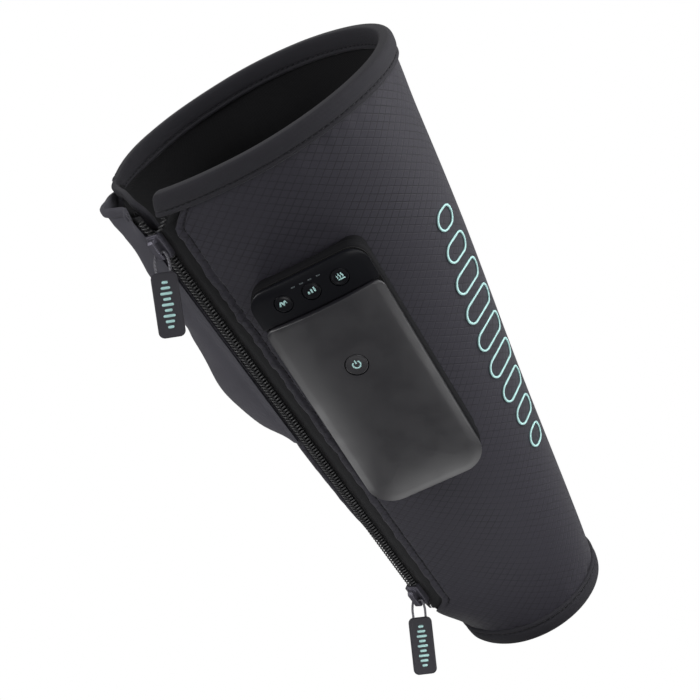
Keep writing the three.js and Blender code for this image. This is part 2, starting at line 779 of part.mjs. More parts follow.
function roundedOutline(width, length, topCorner, footCorner = topCorner) {
  const x = width / 2;
  const y = length / 2;
  const shape = new THREE.Shape();
  shape.moveTo(-x + footCorner, -y);
  shape.lineTo(x - footCorner, -y);
  shape.absarc(x - footCorner, -y + footCorner, footCorner, -Math.PI / 2, 0);
  shape.lineTo(x, y - topCorner);
  shape.absarc(x - topCorner, y - topCorner, topCorner, 0, Math.PI / 2);
  shape.lineTo(-x + topCorner, y);
  shape.absarc(-x + topCorner, y - topCorner, topCorner, Math.PI / 2, Math.PI);
  shape.lineTo(-x, -y + footCorner);
  shape.absarc(-x + footCorner, -y + footCorner, footCorner, Math.PI, Math.PI * 1.5);
  return shape;
}

// The box's outline, or the cover's, drawn in by an inset.
function faceOutline(inset, face) {
  const corner = (radius) => Math.max(radius - inset, clearance);
  const length = face.top + boxTop - inset * 2;
  return roundedOutline(boxWidth - inset * 2, length, corner(face.topCorner), corner(boxFootCorner));
}
const faceMiddle = (face) => (face.top - boxTop) / 2;

// That outline as a slab between two depths.
function boxSlab(inset, low, high, face = wholeFace) {
  const options = { depth: high - low, bevelEnabled: false, curveSegments: cornerSegments };
  const geometry = new THREE.ExtrudeGeometry(faceOutline(inset, face), options);
  return solid(geometry, placed(0, faceMiddle(face), low));
}

// The same slab with a rounded front edge.
function domedSlab(inset, low, high, edge, face = wholeFace) {
  const geometry = new THREE.ExtrudeGeometry(faceOutline(inset + edge, face), {
    depth: high - low,
    bevelThickness: edge,
    bevelSize: edge,
    bevelSegments: edgeSegments,
    curveSegments: cornerSegments,
  });
  const whole = solid(geometry, placed(0, faceMiddle(face), low - edge));
  return whole.intersect(boxSlab(-overrun, low, high, face));
}

const screwSpots = [];
for (const side of [-1, 1]) {
  for (const y of [-boxTop + boxFootCorner, panelLine - bossInset]) {
    screwSpots.push([side * (boxWidth / 2 - bossInset), y]);
  }
}
const keyY = boxTop - keyFromTop;
const powerY = boardFoot + powerFromBoardFoot;
const lightY = boxTop - lightFromTop;
const keys = {
  mode: [-keySpacing, keyY, keyRadius, panelFront],
  intensity: [0, keyY, keyRadius, panelFront],
  heat: [keySpacing, keyY, keyRadius, panelFront],
  power: [0, powerY, powerRadius, faceFront],
};
const lightX = (i) => (i - (lightCount - 1) / 2) * lightSpacing;

function dockPlate() {
  const slab = boxSlab(dockInset, -slotDepth / 2, dockThickness);
  const surface = solid(layer(-clearance, slotDepth, edgeGap, sleeveLength - edgeGap), boxFrame.clone().invert());
  const hole = bar(0, connectorY, -slotDepth, connectorRadius + clearance, slotDepth * 2);
  return piece("dock_plate", slab.subtract(surface).subtract(hole), finishes.cover);
}

function rearCasing() {
  let shell = boxSlab(0, rearBack, rearFront).subtract(boxSlab(boxWall, floorTop, rearFront + overrun));
  for (const [x, y] of screwSpots) {
    const head = screwHeadHeight + clearance;
    shell = shell
      .subtract(bar(x, y, rearBack - overrun, screwRadius + clearance, boxWall + overrun * 2))
      .subtract(bar(x, y, rearBack - overrun, screwHeadRadius + clearance, overrun + head));
  }
  const mouthWidth = socketWidth + clearance * 2;
  const mouthHeight = socketHeight + clearance * 2;
  const mouth = box(
    -mouthWidth / 2,
    -boxTop - overrun,
    innerFloor + boxWall - clearance,
    mouthWidth,
    boxWall + overrun * 2,
    mouthHeight,
  );
  const hole = bar(0, connectorY, rearBack - overrun, connectorRadius + clearance, boxWall + overrun * 2);
  return piece("rear_casing", shell.subtract(mouth).subtract(hole), finishes.cover);
}

const shellEdge = faceEdge - boxWall / 2;

// The cover's shell or the panel's, with a well and a hole for each of its keys.
function faceShell(front, face) {
  let shell = domedSlab(0, faceBack, front, faceEdge, face).subtract(
    domedSlab(boxWall, faceBack - overrun, front - boxWall, shellEdge, face),
  );
  for (const [x, y, radius, keyFront] of Object.values(keys)) {
    if (keyFront !== front) continue;
    shell = shell
      .subtract(bar(x, y, faceBack, radius + clearance, faceDepth + overrun, roundSides))
      .subtract(bar(x, y, front - keyRimDepth, radius + clearance + keyRimWidth, overrun, roundSides));
  }
  return shell;
}

function frontCover() {
  let cover = faceShell(faceFront, coverFace);
  const bossFoot = floorTop + clearance;
  const solidCover = domedSlab(boxWall / 2, floorTop, faceFront - boxWall / 2, shellEdge, coverFace);
  for (const [x, y] of screwSpots) {
    const boss = bar(x, y, bossFoot, bossRadius, faceFront - boxWall / 2 - bossFoot, smallSides)
      .intersect(solidCover)
      .subtract(bar(x, y, bossFoot - overrun, screwRadius + clearance, screwLength + overrun, smallSides));
    cover = cover.add(boss);
  }
  return piece("front_cover", cover, finishes.cover);
}

// The panel fills the strip above the cover, and runs round the cover's two upper corners.
function controlPanel() {
  let panel = faceShell(panelFront, wholeFace);
  for (let i = 0; i < lightCount; i++) {
    const width = lightLength + clearance;
    const height = lightHeight + clearance;
    panel = panel.subtract(
      box(lightX(i) - width / 2, lightY - height / 2, faceBack, width, height, faceDepth + overrun),
    );
  }
  const below = boxSlab(-panelGroove, faceBack - overrun, faceFront + overrun, coverFace);
  return piece("control_panel", panel.subtract(below), finishes.glossPanel);
}

function gasket() {
  const low = rearFront + clearance;
  const ring = boxSlab(boxWall / 4, low, low + gasketThickness).subtract(
    boxSlab(boxWall / 4 + gasketWidth, low - overrun, low + gasketThickness + overrun),
  );
  return piece("casing_gasket", ring, finishes.rubber);
}

const boardBack = innerFloor + batteryThickness + clearance;
const switchTop = boardBack + boardThickness + clearance + switchHeight;

// A key cap: a dished disc with a flange behind the cover's wall.
function key(name, [x, y, radius, front]) {
  const flangeFront = front - boxWall - clearance;
  const flangeBack = flangeFront - keyFlangeThickness;
  const top = front - clearance;
  const profile = [
    [0, flangeBack],
    [radius + keyFlange, flangeBack],
    [radius + keyFlange, flangeFront],
    [radius, flangeFront],
    [radius, top],
    [radius - keyDish, top],
    [0, top - keyDish],
  ].map(([r, z]) => new THREE.Vector2(r, z));
  const cap = new THREE.LatheGeometry(profile, roundSides).rotateX(Math.PI / 2);
  const stemFoot = switchTop + keyTravel + clearance;
  let body = solid(cap, placed(x, y, 0));
  if (stemFoot < flangeBack) {
    const stemLength = flangeBack + keyFlangeThickness / 2 - stemFoot;
    body = body.add(bar(x, y, stemFoot, radius / 3, stemLength, smallSides));
  }
  return piece(name + "_button", body, name === "power" ? finishes.cover : finishes.glossPanel);
}

function keySwitch(name, [x, y]) {
  const low = boardBack + boardThickness + clearance;
  const cap = switchHeight / 4;
  const body = box(x - switchSize / 2, y - switchSize / 2, low, switchSize, switchSize, switchHeight - cap);
  const plunger = bar(x, y, low, switchSize / 4, switchHeight, smallSides);
  return piece(name + "_switch", body.add(plunger), finishes.steel);
}

function lightGuide() {
  const top = panelFront - boxWall - clearance;
  const half = lightX(lightCount - 1) + lightLength / 2;
  const barFoot = lightY - lightHeight / 2 + lightBarRise;
  let guide = box(-half, barFoot, top - lightBar, half * 2, lightHeight, lightBar);
  for (let i = 0; i < lightCount; i++) {
    const tooth = box(
      lightX(i) - lightLength / 2,
      lightY - lightHeight / 2,
      top - lightBar / 2,
      lightLength,
      lightHeight,
      boxWall + lightBar / 2,
    );
    guide = guide.add(tooth);
  }
  return piece("light_guide", guide, finishes.light);
}

// Inner works: the board over the battery at the top, the pump and its valves below
function innerWorks() {
  const pieces = [];
  const board = box(-boardWidth / 2, boardFoot, boardBack, boardWidth, boardLength, boardThickness);
  pieces.push(piece("circuit_board", board, finishes.board));

  const batteryLength = boardLength - batteryInset;
  const batteryGeometry = new THREE.ExtrudeGeometry(roundedOutline(batteryWidth, batteryLength, batteryCorner), {
    depth: batteryThickness,
    bevelEnabled: false,
    curveSegments: edgeSegments,
  });
  const battery = solid(batteryGeometry, placed(0, boardTop - batteryLength / 2 - overrun, innerFloor));
  pieces.push(piece("battery", battery, finishes.cell));

  const pumpY = boardFoot - clearance * 4 - headHeight / 2;
  const pumpZ = innerFloor + motorRadius;
  const headX = eccentricThickness / 2 + clearance * 2;
  const motorX = -eccentricThickness / 2 - clearance * 2;
  const lying = (x) => placed(x, pumpY, pumpZ).multiply(new THREE.Matrix4().makeRotationZ(Math.PI / 2));
  const drum = solid(
    new THREE.CylinderGeometry(motorRadius, motorRadius, motorLength, roundSides),
    lying(motorX - motorLength / 2),
  );
  const shaftLength = eccentricThickness + clearance * 2;
  const shaft = solid(
    new THREE.CylinderGeometry(shaftRadius, shaftRadius, shaftLength + overrun, smallSides),
    lying(motorX + shaftLength / 2 - overrun / 2),
  );
  pieces.push(piece("pump_motor", drum.add(shaft), finishes.steel));

  const disc = solid(
    new THREE.CylinderGeometry(eccentricRadius, eccentricRadius, eccentricThickness, roundSides),
    placed(0, pumpY + eccentricOffset, pumpZ).multiply(new THREE.Matrix4().makeRotationZ(Math.PI / 2)),
  );
  const boreRadius = shaftRadius + clearance;
  const bore = solid(
    new THREE.CylinderGeometry(boreRadius, boreRadius, eccentricThickness + overrun, smallSides),
    lying(0),
  );
  pieces.push(piece("pump_eccentric", disc.subtract(bore), finishes.innerPlastic));
  const head = box(headX, pumpY - headHeight / 2, innerFloor, headWidth, headHeight, headDepth);
  pieces.push(piece("pump_head", head, finishes.innerPlastic));

  for (let i = 0; i < valveCount; i++) {
    const x = (i - (valveCount - 1) / 2) * valveSpacing;
    const body = box(x - valveWidth / 2, valveTop - valveHeight, innerFloor, valveWidth, valveHeight, valveDepth);
    const nozzleFoot = innerFloor + valveDepth - overrun;
    const nozzle = bar(x, valveTop - valveHeight / 2, nozzleFoot, valveNozzle, valveNozzle + overrun, smallSides);
    pieces.push(piece("air_valve_" + (i + 1), body.add(nozzle), finishes.cell));
  }
  const manifold = box(-manifoldWidth / 2, manifoldY, innerFloor, manifoldWidth, manifoldHeight, manifoldDepth);
  const seat = bar(0, connectorY, innerFloor - overrun, connectorBore + clearance, manifoldDepth / 2 + overrun);
  pieces.push(piece("air_manifold", manifold.subtract(seat), finishes.innerPlastic));

  const flangeLength = innerFloor - clearance - connectorFoot;
  const spigotLength = flangeLength + manifoldDepth / 2;
  const flange = bar(0, connectorY, connectorFoot, connectorRadius, flangeLength);
  const spigot = bar(0, connectorY, connectorFoot, connectorBore, spigotLength);
  const airWay = bar(
    0,
    connectorY,
    connectorFoot - overrun,
    connectorBore / 2,
    spigotLength + overrun * 2,
    smallSides,
  );
  pieces.push(piece("air_connector", flange.add(spigot).subtract(airWay), finishes.innerPlastic));

  const socketZ = innerFloor + boxWall;
  const socketY = -boxTop + clearance;
  const shell = box(-socketWidth / 2, socketY, socketZ, socketWidth, socketLength, socketHeight).subtract(
    box(
      -socketWidth / 2 + socketWall,
      socketY - overrun,
      socketZ + socketWall,
      socketWidth - socketWall * 2,
      socketLength + overrun - socketWall,
      socketHeight - socketWall * 2,
    ),
  );
  const tongue = box(
    -socketWidth / 3,
    socketY + socketWall,
    socketZ + socketHeight / 2 - socketTongue / 2,
    (socketWidth * 2) / 3,
    socketLength - socketWall * 1.5,
    socketTongue,
  );
  pieces.push(piece("charging_socket", shell.add(tongue), finishes.steel));
  return pieces;
}

function screws() {
  return screwSpots.map(([x, y], i) => {
    const headBack = rearBack + clearance / 2;
    const head = bar(x, y, headBack, screwHeadRadius, screwHeadHeight, smallSides);
    const shank = bar(x, y, headBack, screwRadius, screwLength, smallSides);
    return piece("casing_screw_" + (i + 1), head.add(shank), finishes.steel);
  });
}

function controller() {
  const group = new THREE.Group();
  group.add(dockPlate(), rearCasing(), gasket(), frontCover(), controlPanel(), lightGuide());
  for (const [name, spot] of Object.entries(keys)) group.add(key(name, spot), keySwitch(name, spot));
  group.add(...innerWorks(), ...screws());
  group.applyMatrix4(boxFrame);
  return group;
}

// The whole part, its hem standing on z = 0 and centred on its own outline
const body = new THREE.Group();
body.add(sleeve(), ...bindings(), guardFlap(), ...gusset(), zip(), controller());
const centre = new THREE.Box3().setFromObject(body, true).getCenter(new THREE.Vector3());
body.position.set(-centre.x, -centre.y, 0);

const group = new THREE.Group();
group.add(body);
export default group;
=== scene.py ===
"""A padded calf sleeve with its air pump on the front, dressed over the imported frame.

Sizes are in millimetres in the sleeve's own drawing, and become metres where a mesh is made.
"""
import json
import math

import bmesh
import bpy
import numpy as np
from mathutils import Matrix, Vector


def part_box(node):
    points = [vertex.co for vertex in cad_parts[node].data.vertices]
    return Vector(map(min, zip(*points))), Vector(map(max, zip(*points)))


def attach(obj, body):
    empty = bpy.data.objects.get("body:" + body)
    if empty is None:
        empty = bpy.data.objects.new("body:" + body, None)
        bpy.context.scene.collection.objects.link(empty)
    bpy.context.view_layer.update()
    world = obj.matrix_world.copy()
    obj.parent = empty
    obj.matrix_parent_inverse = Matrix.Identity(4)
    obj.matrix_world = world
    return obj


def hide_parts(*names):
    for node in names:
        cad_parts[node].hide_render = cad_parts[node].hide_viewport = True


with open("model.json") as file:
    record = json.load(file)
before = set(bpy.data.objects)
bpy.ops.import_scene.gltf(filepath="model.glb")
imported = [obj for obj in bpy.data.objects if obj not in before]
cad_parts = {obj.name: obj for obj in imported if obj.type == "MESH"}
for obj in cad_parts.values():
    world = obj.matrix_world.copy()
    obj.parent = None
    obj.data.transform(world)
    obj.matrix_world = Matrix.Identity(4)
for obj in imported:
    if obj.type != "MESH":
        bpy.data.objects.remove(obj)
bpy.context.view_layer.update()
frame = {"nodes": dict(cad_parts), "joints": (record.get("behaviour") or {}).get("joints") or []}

MM = 0.001

# The sleeve's wall
LENGTH = 360.0
RIM_HALF_WIDTH = 85.5
RIM_HALF_DEPTH = 64.0
RIM_DIP = 4.5
HEM_HALF_WIDTH = 43.5
HEM_HALF_DEPTH = 44.0
WALL = 9.0
RIM_WALL_SHARE = 0.45
RAMP = 20.0
BINDING = 11.0
CREST_ANGLE = 207.0  # at the rim
CREST_TURN = 4.0  # how much further round it lies at the foot of the zip
CREST_FRONT_SPREAD = 24.0
CREST_BACK_SPREAD = 30.0
CREST_BACK_SPREAD_AT_RIM = 8.0
CREST_AT_ZIP_END = 13.0
CREST_AT_RIM = 12.3
CREST_AT_HEM = 1.5
CREST_FADE = (8.0, 42.0)
CREST_SOFTNESS = 2.5
FRONT = 270.0
SHIFT = np.array([3.3214, 7.52456, 0.0])  # centres the drawing on the frame's origin

# The zip
ZIP_END_ANGLE = 211.0
ZIP_RIM_ANGLE = 219.5
ZIP_END_HEIGHT = 46.0
FRONT_TAPE = 12.0
BACK_TAPE = 6.0
PART_HEIGHT = 20.0
FRONT_PART = 20.0
BACK_PART = 2.0
COIL_PITCH = 2.1
SLIDER_LENGTH = 15.0
CROWN_PIN_DROP = 2.6
CROWN_PIN_LIFT = 5.65
CROWN_WIDTH = 3.7
CORD_RADIUS = 0.7
CORD_SPAN = 7.4
CORD_REACH = 9.4
TAB = (14.0, 34.0, 3.0)
PULL_TWIST = 42.0

# The gusset behind the zip
GUSSET_START = 186.0
GUSSET_POCKET = 222.0
GUSSET_FROM = 171.0
GUSSET_TO = 210.0
GUSSET_REACH = 17.0
GUSSET_LEAN = 0.9
GUSSET_SHARES = ((0, 0.08), (0.08, 0.73), (0.2, 1), (0.36, 0.85), (0.62, 0.46), (0.85, 0.32), (1, 0.38))

# The controller
BOX_HEIGHT = 220.5
BOX_WIDTH = 68.0
BOX_TOP = 75.0
PANEL_LINE = 54.0
REAR_BACK = 2.6
FACE_BACK = 12.3
FACE_FRONT = 20.5
PANEL_FRONT = 18.1
KEY_Y = BOX_TOP - 10.9
KEY_SPACING = 16.2
KEY_RADIUS = 5.0
POWER_Y = 16.0
POWER_RADIUS = 6.2
LIGHT_Y = BOX_TOP - 4.6
LIGHT_SPACING = 4.8


def lerp(a, b, share):
    return a + (b - a) * share


def smooth(x, low, high):
    share = np.clip((np.asarray(x, float) - low) / (high - low), 0, 1)
    return share * share * (3 - 2 * share)


def unit(vectors):
    """The vectors at length 1."""
    vectors = np.asarray(vectors, float)
    return vectors / np.linalg.norm(vectors, axis=-1, keepdims=True)


def bell(x, middle, width):
    return np.exp(-(((x - middle) / width) ** 2))


def run_along(points):
    """How far along their line the points lie."""
    return np.concatenate([[0], np.cumsum(np.linalg.norm(np.diff(points, axis=0), axis=1))])


def read_off(at, run, rows):
    """The rows' values at other places of their run."""
    return np.stack([np.interp(at, run, values) for values in np.asarray(rows).T], axis=-1)


def crest_height(height):
    """How far the crest that carries the zip stands off the oval."""
    upper = lerp(CREST_AT_ZIP_END, CREST_AT_RIM, (height - ZIP_END_HEIGHT) / (LENGTH - ZIP_END_HEIGHT))
    lower = lerp(CREST_AT_HEM, CREST_AT_ZIP_END, smooth(height, *CREST_FADE))
    return np.where(height >= ZIP_END_HEIGHT, upper, lower)


def crest_angle(height):
    """Where round the sleeve the crest lies."""
    return CREST_ANGLE + CREST_TURN * np.clip((LENGTH - height) / (LENGTH - ZIP_END_HEIGHT), 0, 1)


def wall_radius(angle, height, softness):
    """The outer face's distance from the sleeve's middle: an oval, with the crest on it."""
    angle, height = np.broadcast_arrays(np.asarray(angle, float), np.asarray(height, float))
    share = height / LENGTH
    turn = np.radians(angle)
    half_width = lerp(HEM_HALF_WIDTH, RIM_HALF_WIDTH, share)
    half_depth = lerp(HEM_HALF_DEPTH, RIM_HALF_DEPTH, share)
    oval = 1 / np.hypot(np.cos(turn) / half_width, np.sin(turn) / half_depth)
    away = (angle - crest_angle(height) + 180) % 360 - 180
    back_spread = lerp(CREST_BACK_SPREAD, CREST_BACK_SPREAD_AT_RIM, share)
    spread = np.where(away > 0, CREST_FRONT_SPREAD, back_spread)
    rounded = np.sqrt(away**2 + softness**2) - softness
    return oval + crest_height(height) * np.exp(-rounded / spread)


def wall_point(angle, depth, height, softness=CREST_SOFTNESS):
    """The place at a depth inside the sleeve's outer face."""
    radius = wall_radius(angle, height, softness) - depth
    turn = np.radians(np.asarray(angle, float))
    dip = RIM_DIP * np.sin(turn) * (np.asarray(height, float) / LENGTH)
    return np.stack(np.broadcast_arrays(radius * np.cos(turn), radius * np.sin(turn), height + dip), axis=-1)


def wall_share(height):
    """The wall's thickness as a share of its full one: it thins towards its bound edges."""
    from_end = np.minimum(height, LENGTH - height) - BINDING
    return lerp(RIM_WALL_SHARE, 1, np.clip(from_end / RAMP, 0, 1))


# The zip's frame: x to the front, y up the chain, z outwards
zip_foot = wall_point(ZIP_END_ANGLE, 0, ZIP_END_HEIGHT, 0)
zip_top = wall_point(ZIP_RIM_ANGLE, 0, LENGTH, 0)
zip_length = float(np.linalg.norm(zip_top - zip_foot))
part_from = zip_length - PART_HEIGHT
joint_axes = {joint["name"]: unit(joint["axis"]) for joint in frame["joints"]}
zip_up = -joint_axes["upper_slider_run"]
zip_side = -joint_axes["upper_pull_swing"]
zip_out = np.cross(zip_side, zip_up)


def placed_in(origin, across, up, out, x, y, z):
    x, y, z = np.broadcast_arrays(np.asarray(x, float), np.asarray(y, float), np.asarray(z, float))
    return origin + x[..., None] * across + y[..., None] * up + z[..., None] * out


def zip_point(x, y, z):
    return placed_in(zip_foot, zip_side, zip_up, zip_out, x, y, z)


def in_zip(point):
    away = np.asarray(point) - zip_foot
    return np.stack([away @ zip_side, away @ zip_up, away @ zip_out], axis=-1)


# The controller's frame: x to the right, y up the sleeve, z out of the shin
slope = math.atan((RIM_HALF_DEPTH - HEM_HALF_DEPTH) / LENGTH)
box_origin = wall_point(FRONT, 0, BOX_HEIGHT)
box_up = np.array([0, -math.sin(slope), math.cos(slope)])
box_out = np.array([0, -math.cos(slope), -math.sin(slope)])
box_across = np.array([1.0, 0, 0])


def box_point(x, y, z):
    return placed_in(box_origin, box_across, box_up, box_out, x, y, z)


RIPPLE_WAVES = 7


def ripple(x, y, seed, wavelength, stretch=1.0):
    """A smooth uneven height between about -1 and 1, the same each time for a seed."""
    source = np.random.default_rng(seed)
    total = np.zeros(np.broadcast(x, y).shape)
    for _ in range(RIPPLE_WAVES):
        turn = source.uniform(0, math.tau)
        pace = math.tau / wavelength * source.uniform(0.6, 1.5)
        phase = source.uniform(0, math.tau)
        total = total + np.sin(pace * (x * math.cos(turn) + y * math.sin(turn) / stretch) + phase)
    return total / math.sqrt(RIPPLE_WAVES)


def through(points, count):
    """A smooth line through the points, at even steps of its own run."""
    points = np.asarray(points, float)
    padded = np.vstack([2 * points[0] - points[1], points, 2 * points[-1] - points[-2]])
    fine = []
    for i in range(len(points) - 1):
        a, b, c, d = padded[i : i + 4]
        for t in np.linspace(0, 1, 16, endpoint=False):
            square = (2 * a - 5 * b + 4 * c - d) * t**2
            cube = (3 * b - a - 3 * c + d) * t**3
            fine.append(0.5 * (2 * b + (c - a) * t + square + cube))
    fine = np.array(fine + [points[-1]])
    run = run_along(fine)
    return read_off(np.linspace(0, run[-1], count), run, fine)


# Shader maths

class Link:
    """A shader socket that takes part in sums."""

    def __init__(self, paint, socket):
        self.paint = paint
        self.socket = socket

    def math(self, operation, other, turned=False):
        pair = (other, self) if turned else (self, other)
        return self.paint.node("ShaderNodeMath", {"operation": operation}, {0: pair[0], 1: pair[1]})

    def __add__(self, other):
        return self.math("ADD", other)

    __radd__ = __add__

    def __mul__(self, other):
        return self.math("MULTIPLY", other)

    __rmul__ = __mul__

    def __sub__(self, other):
        return self.math("SUBTRACT", other)

    def __rsub__(self, other):
        return self.math("SUBTRACT", other, turned=True)

    def __truediv__(self, other):
        return self.math("DIVIDE", other)

    def __rtruediv__(self, other):
        return self.math("DIVIDE", other, turned=True)


MIX_FIRST, MIX_SECOND, MIX_RESULT = 6, 7, 2  # the Mix node's colour sockets


class Paint:
    """A material with one Principled shader, whose constants are set on its own sockets."""

    def __init__(self, name, colour, roughness, **constants):
        self.material = bpy.data.materials.new(name)
        self.material.use_nodes = True
        self.tree = self.material.node_tree
        self.shader = self.tree.nodes["Principled BSDF"]
        self.set("Base Color", linear(colour))
        self.set("Roughness", roughness)
        for socket, value in constants.items():
            self.set(socket.replace("_", " "), value)

    def set(self, socket, value):
        target = self.shader.inputs[socket]
        if isinstance(value, Link):
            self.tree.links.new(value.socket, target)
        else:
            target.default_value = value

    def node(self, kind, settings, values, output=0):
        """A node of any kind: its settings first, then its sockets' values or links."""
        made = self.tree.nodes.new(kind)
        for name, setting in settings.items():
            setattr(made, name, setting)
        for place, value in values.items():
            if isinstance(value, Link):
                self.tree.links.new(value.socket, made.inputs[place])
            else:
                made.inputs[place].default_value = value
        return Link(self, made.outputs[output])

    def place(self):
        """The cloth's own flat place in millimetres, kept on the mesh."""
        return self.node("ShaderNodeAttribute", {"attribute_name": "cloth"}, {}, "Vector")

    def solid_place(self):
        return self.node("ShaderNodeTexCoord", {}, {}, "Object")

    def part(self, vector, axis):
        return self.node("ShaderNodeSeparateXYZ", {}, {0: vector}, axis)

    def noise(self, vector, scale, detail=2.0):
        values = {"Vector": vector, "Scale": scale, "Detail": detail}
        return self.node("ShaderNodeTexNoise", {}, values, "Fac")

    def ramp(self, value, low, high, start=0.0, end=1.0):
        settings = {"interpolation_type": "SMOOTHSTEP"}
        values = {"Value": value, "From Min": low, "From Max": high, "To Min": start, "To Max": end}
        return self.node("ShaderNodeMapRange", settings, values)

    def near_whole(self, value, width):
        """1 where the value is near a whole number, 0 further off than the width."""
        away = self.node("ShaderNodeMath", {"operation": "PINGPONG"}, {0: value, 1: 0.5})
        return self.ramp(away, 0, width, 1.0, 0.0)

    def wave(self, value):
        return self.node("ShaderNodeMath", {"operation": "SINE"}, {0: value * math.tau})

    def mix(self, share, first, second):
        """From the first colour, which may be a link, to the second."""
        first = first if isinstance(first, Link) else linear(first)
        values = {"Factor": share, MIX_FIRST: first, MIX_SECOND: linear(second)}
        return self.node("ShaderNodeMix", {"data_type": "RGBA"}, values, MIX_RESULT)

    def bump(self, height, distance, strength=1.0):
        values = {"Height": height, "Distance": distance, "Strength": strength}
        self.set("Normal", self.node("ShaderNodeBump", {}, values, "Normal"))


def linear(colour):
    """A colour as seen, 0 to 255, as the shader's linear one."""
    seen = [c / 255 for c in colour]
    return tuple(c / 12.92 if c <= 0.04045 else ((c + 0.055) / 1.055) ** 2.4 for c in seen) + (1.0,)


# Finishes

CLOTH_RELIEF = 0.00016  # metres, for the bump nodes


def lighter(colour, steps):
    return tuple(c + steps for c in colour)


def ripstop():
    """Woven cloth with a slanting grid of thicker threads, in soft patches of light and dark."""
    across, along, width = 6.7, 5.1, 0.13
    yarns = 1.55
    paint = Paint(
        "ripstop_fabric", (44, 43, 50), 0.6, Sheen_Weight=0.2, Sheen_Roughness=0.4, Specular_IOR_Level=0.35
    )
    place = paint.place()
    x = paint.part(place, "X")
    y = paint.part(place, "Y")
    rising = paint.near_whole(x / across + y / along, width)
    falling = paint.near_whole(x / across - y / along, width)
    rip = paint.node("ShaderNodeMath", {"operation": "MAXIMUM"}, {0: rising, 1: falling})
    knots = rising * falling
    weave = paint.wave(x * yarns) * paint.wave(y * yarns)
    patches = paint.noise(place, 0.03, 3.0)
    threads = paint.noise(place, 1.1)
    shown = paint.ramp(patches, 0.38, 0.62, 0.35, 1.0)
    base = paint.mix(patches, (45, 43, 52), (53, 51, 61))
    worn = paint.mix(threads * 0.3, base, (56, 55, 63))
    ripped = paint.mix(rip * shown * 0.62, worn, (22, 21, 26))
    paint.set("Base Color", paint.mix(knots * 0.5, ripped, (14, 14, 18)))
    paint.set("Roughness", paint.ramp(threads, 0.3, 0.7, 0.54, 0.66))
    paint.bump(rip * -0.6 + weave * 0.2 + patches * 1.2, CLOTH_RELIEF, 0.9)
    return paint.material


def plain_cloth(name, dark, light, rib, rib_depth, roughness):
    """Plain woven or knitted cloth, with ribs this many millimetres apart."""
    paint = Paint(name, light, roughness, Sheen_Weight=0.1, Sheen_Roughness=0.5, Specular_IOR_Level=0.25)
    place = paint.place()
    ribs = paint.wave(paint.part(place, "X") / rib)
    cross = paint.wave(paint.part(place, "Y") / rib)
    patches = paint.noise(place, 0.05, 3.0)
    fibres = paint.noise(place, 2.4)
    base = paint.mix(patches, dark, light)
    paint.set("Base Color", paint.mix(fibres * 0.4, base, lighter(light, 9)))
    paint.set("Roughness", paint.ramp(fibres, 0.3, 0.7, roughness - 0.07, roughness + 0.08))
    paint.bump(ribs * cross * rib_depth + fibres * 0.5 + patches, CLOTH_RELIEF, 0.8)
    return paint.material


def moulded(name, colour, roughness, grain, depth, fade, **constants):
    """Moulded or drawn stuff: a fine grain this deep, and broad patches that fade a little lighter."""
    paint = Paint(name, colour, roughness, **constants)
    place = paint.solid_place()
    speckle = paint.noise(place, grain)
    broad = paint.noise(place, grain / 40)
    paint.set("Base Color", paint.mix(broad, colour, lighter(colour, fade)))
    paint.set("Roughness", paint.ramp(broad, 0.3, 0.7, roughness - 0.04, roughness + 0.05))
    paint.bump(speckle, depth, 0.6)
    return paint.material


def twisted(name, dark, light):
    """Cord laid up from strands, with painted shade in the grooves between them."""
    paint = Paint(name, light, 0.6, Specular_IOR_Level=0.4)
    place = paint.place()
    strands = paint.wave(paint.part(place, "X") / 2.6 + paint.part(place, "Y") / 1.9)
    # Darker towards the grooves between strands: painted shade.
    paint.set("Base Color", paint.mix(paint.ramp(strands, -1, 1), dark, light))
    paint.set("Roughness", paint.ramp(strands, -1, 1, 0.7, 0.5))
    paint.bump(strands, 0.0001, 0.8)
    return paint.material


def printed_board():
    """Green board with lighter tracks."""
    paint = Paint("circuit_board", (26, 92, 52), 0.45)
    values = {"Vector": paint.solid_place(), "Scale": 160.0}
    tracks = paint.node("ShaderNodeTexVoronoi", {"feature": "DISTANCE_TO_EDGE"}, values, "Distance")
    paint.set("Base Color", paint.mix(paint.ramp(tracks, 0.03, 0.06), (84, 150, 96), (24, 84, 48)))
    paint.set("Roughness", paint.ramp(tracks, 0.03, 0.06, 0.35, 0.5))
    return paint.material


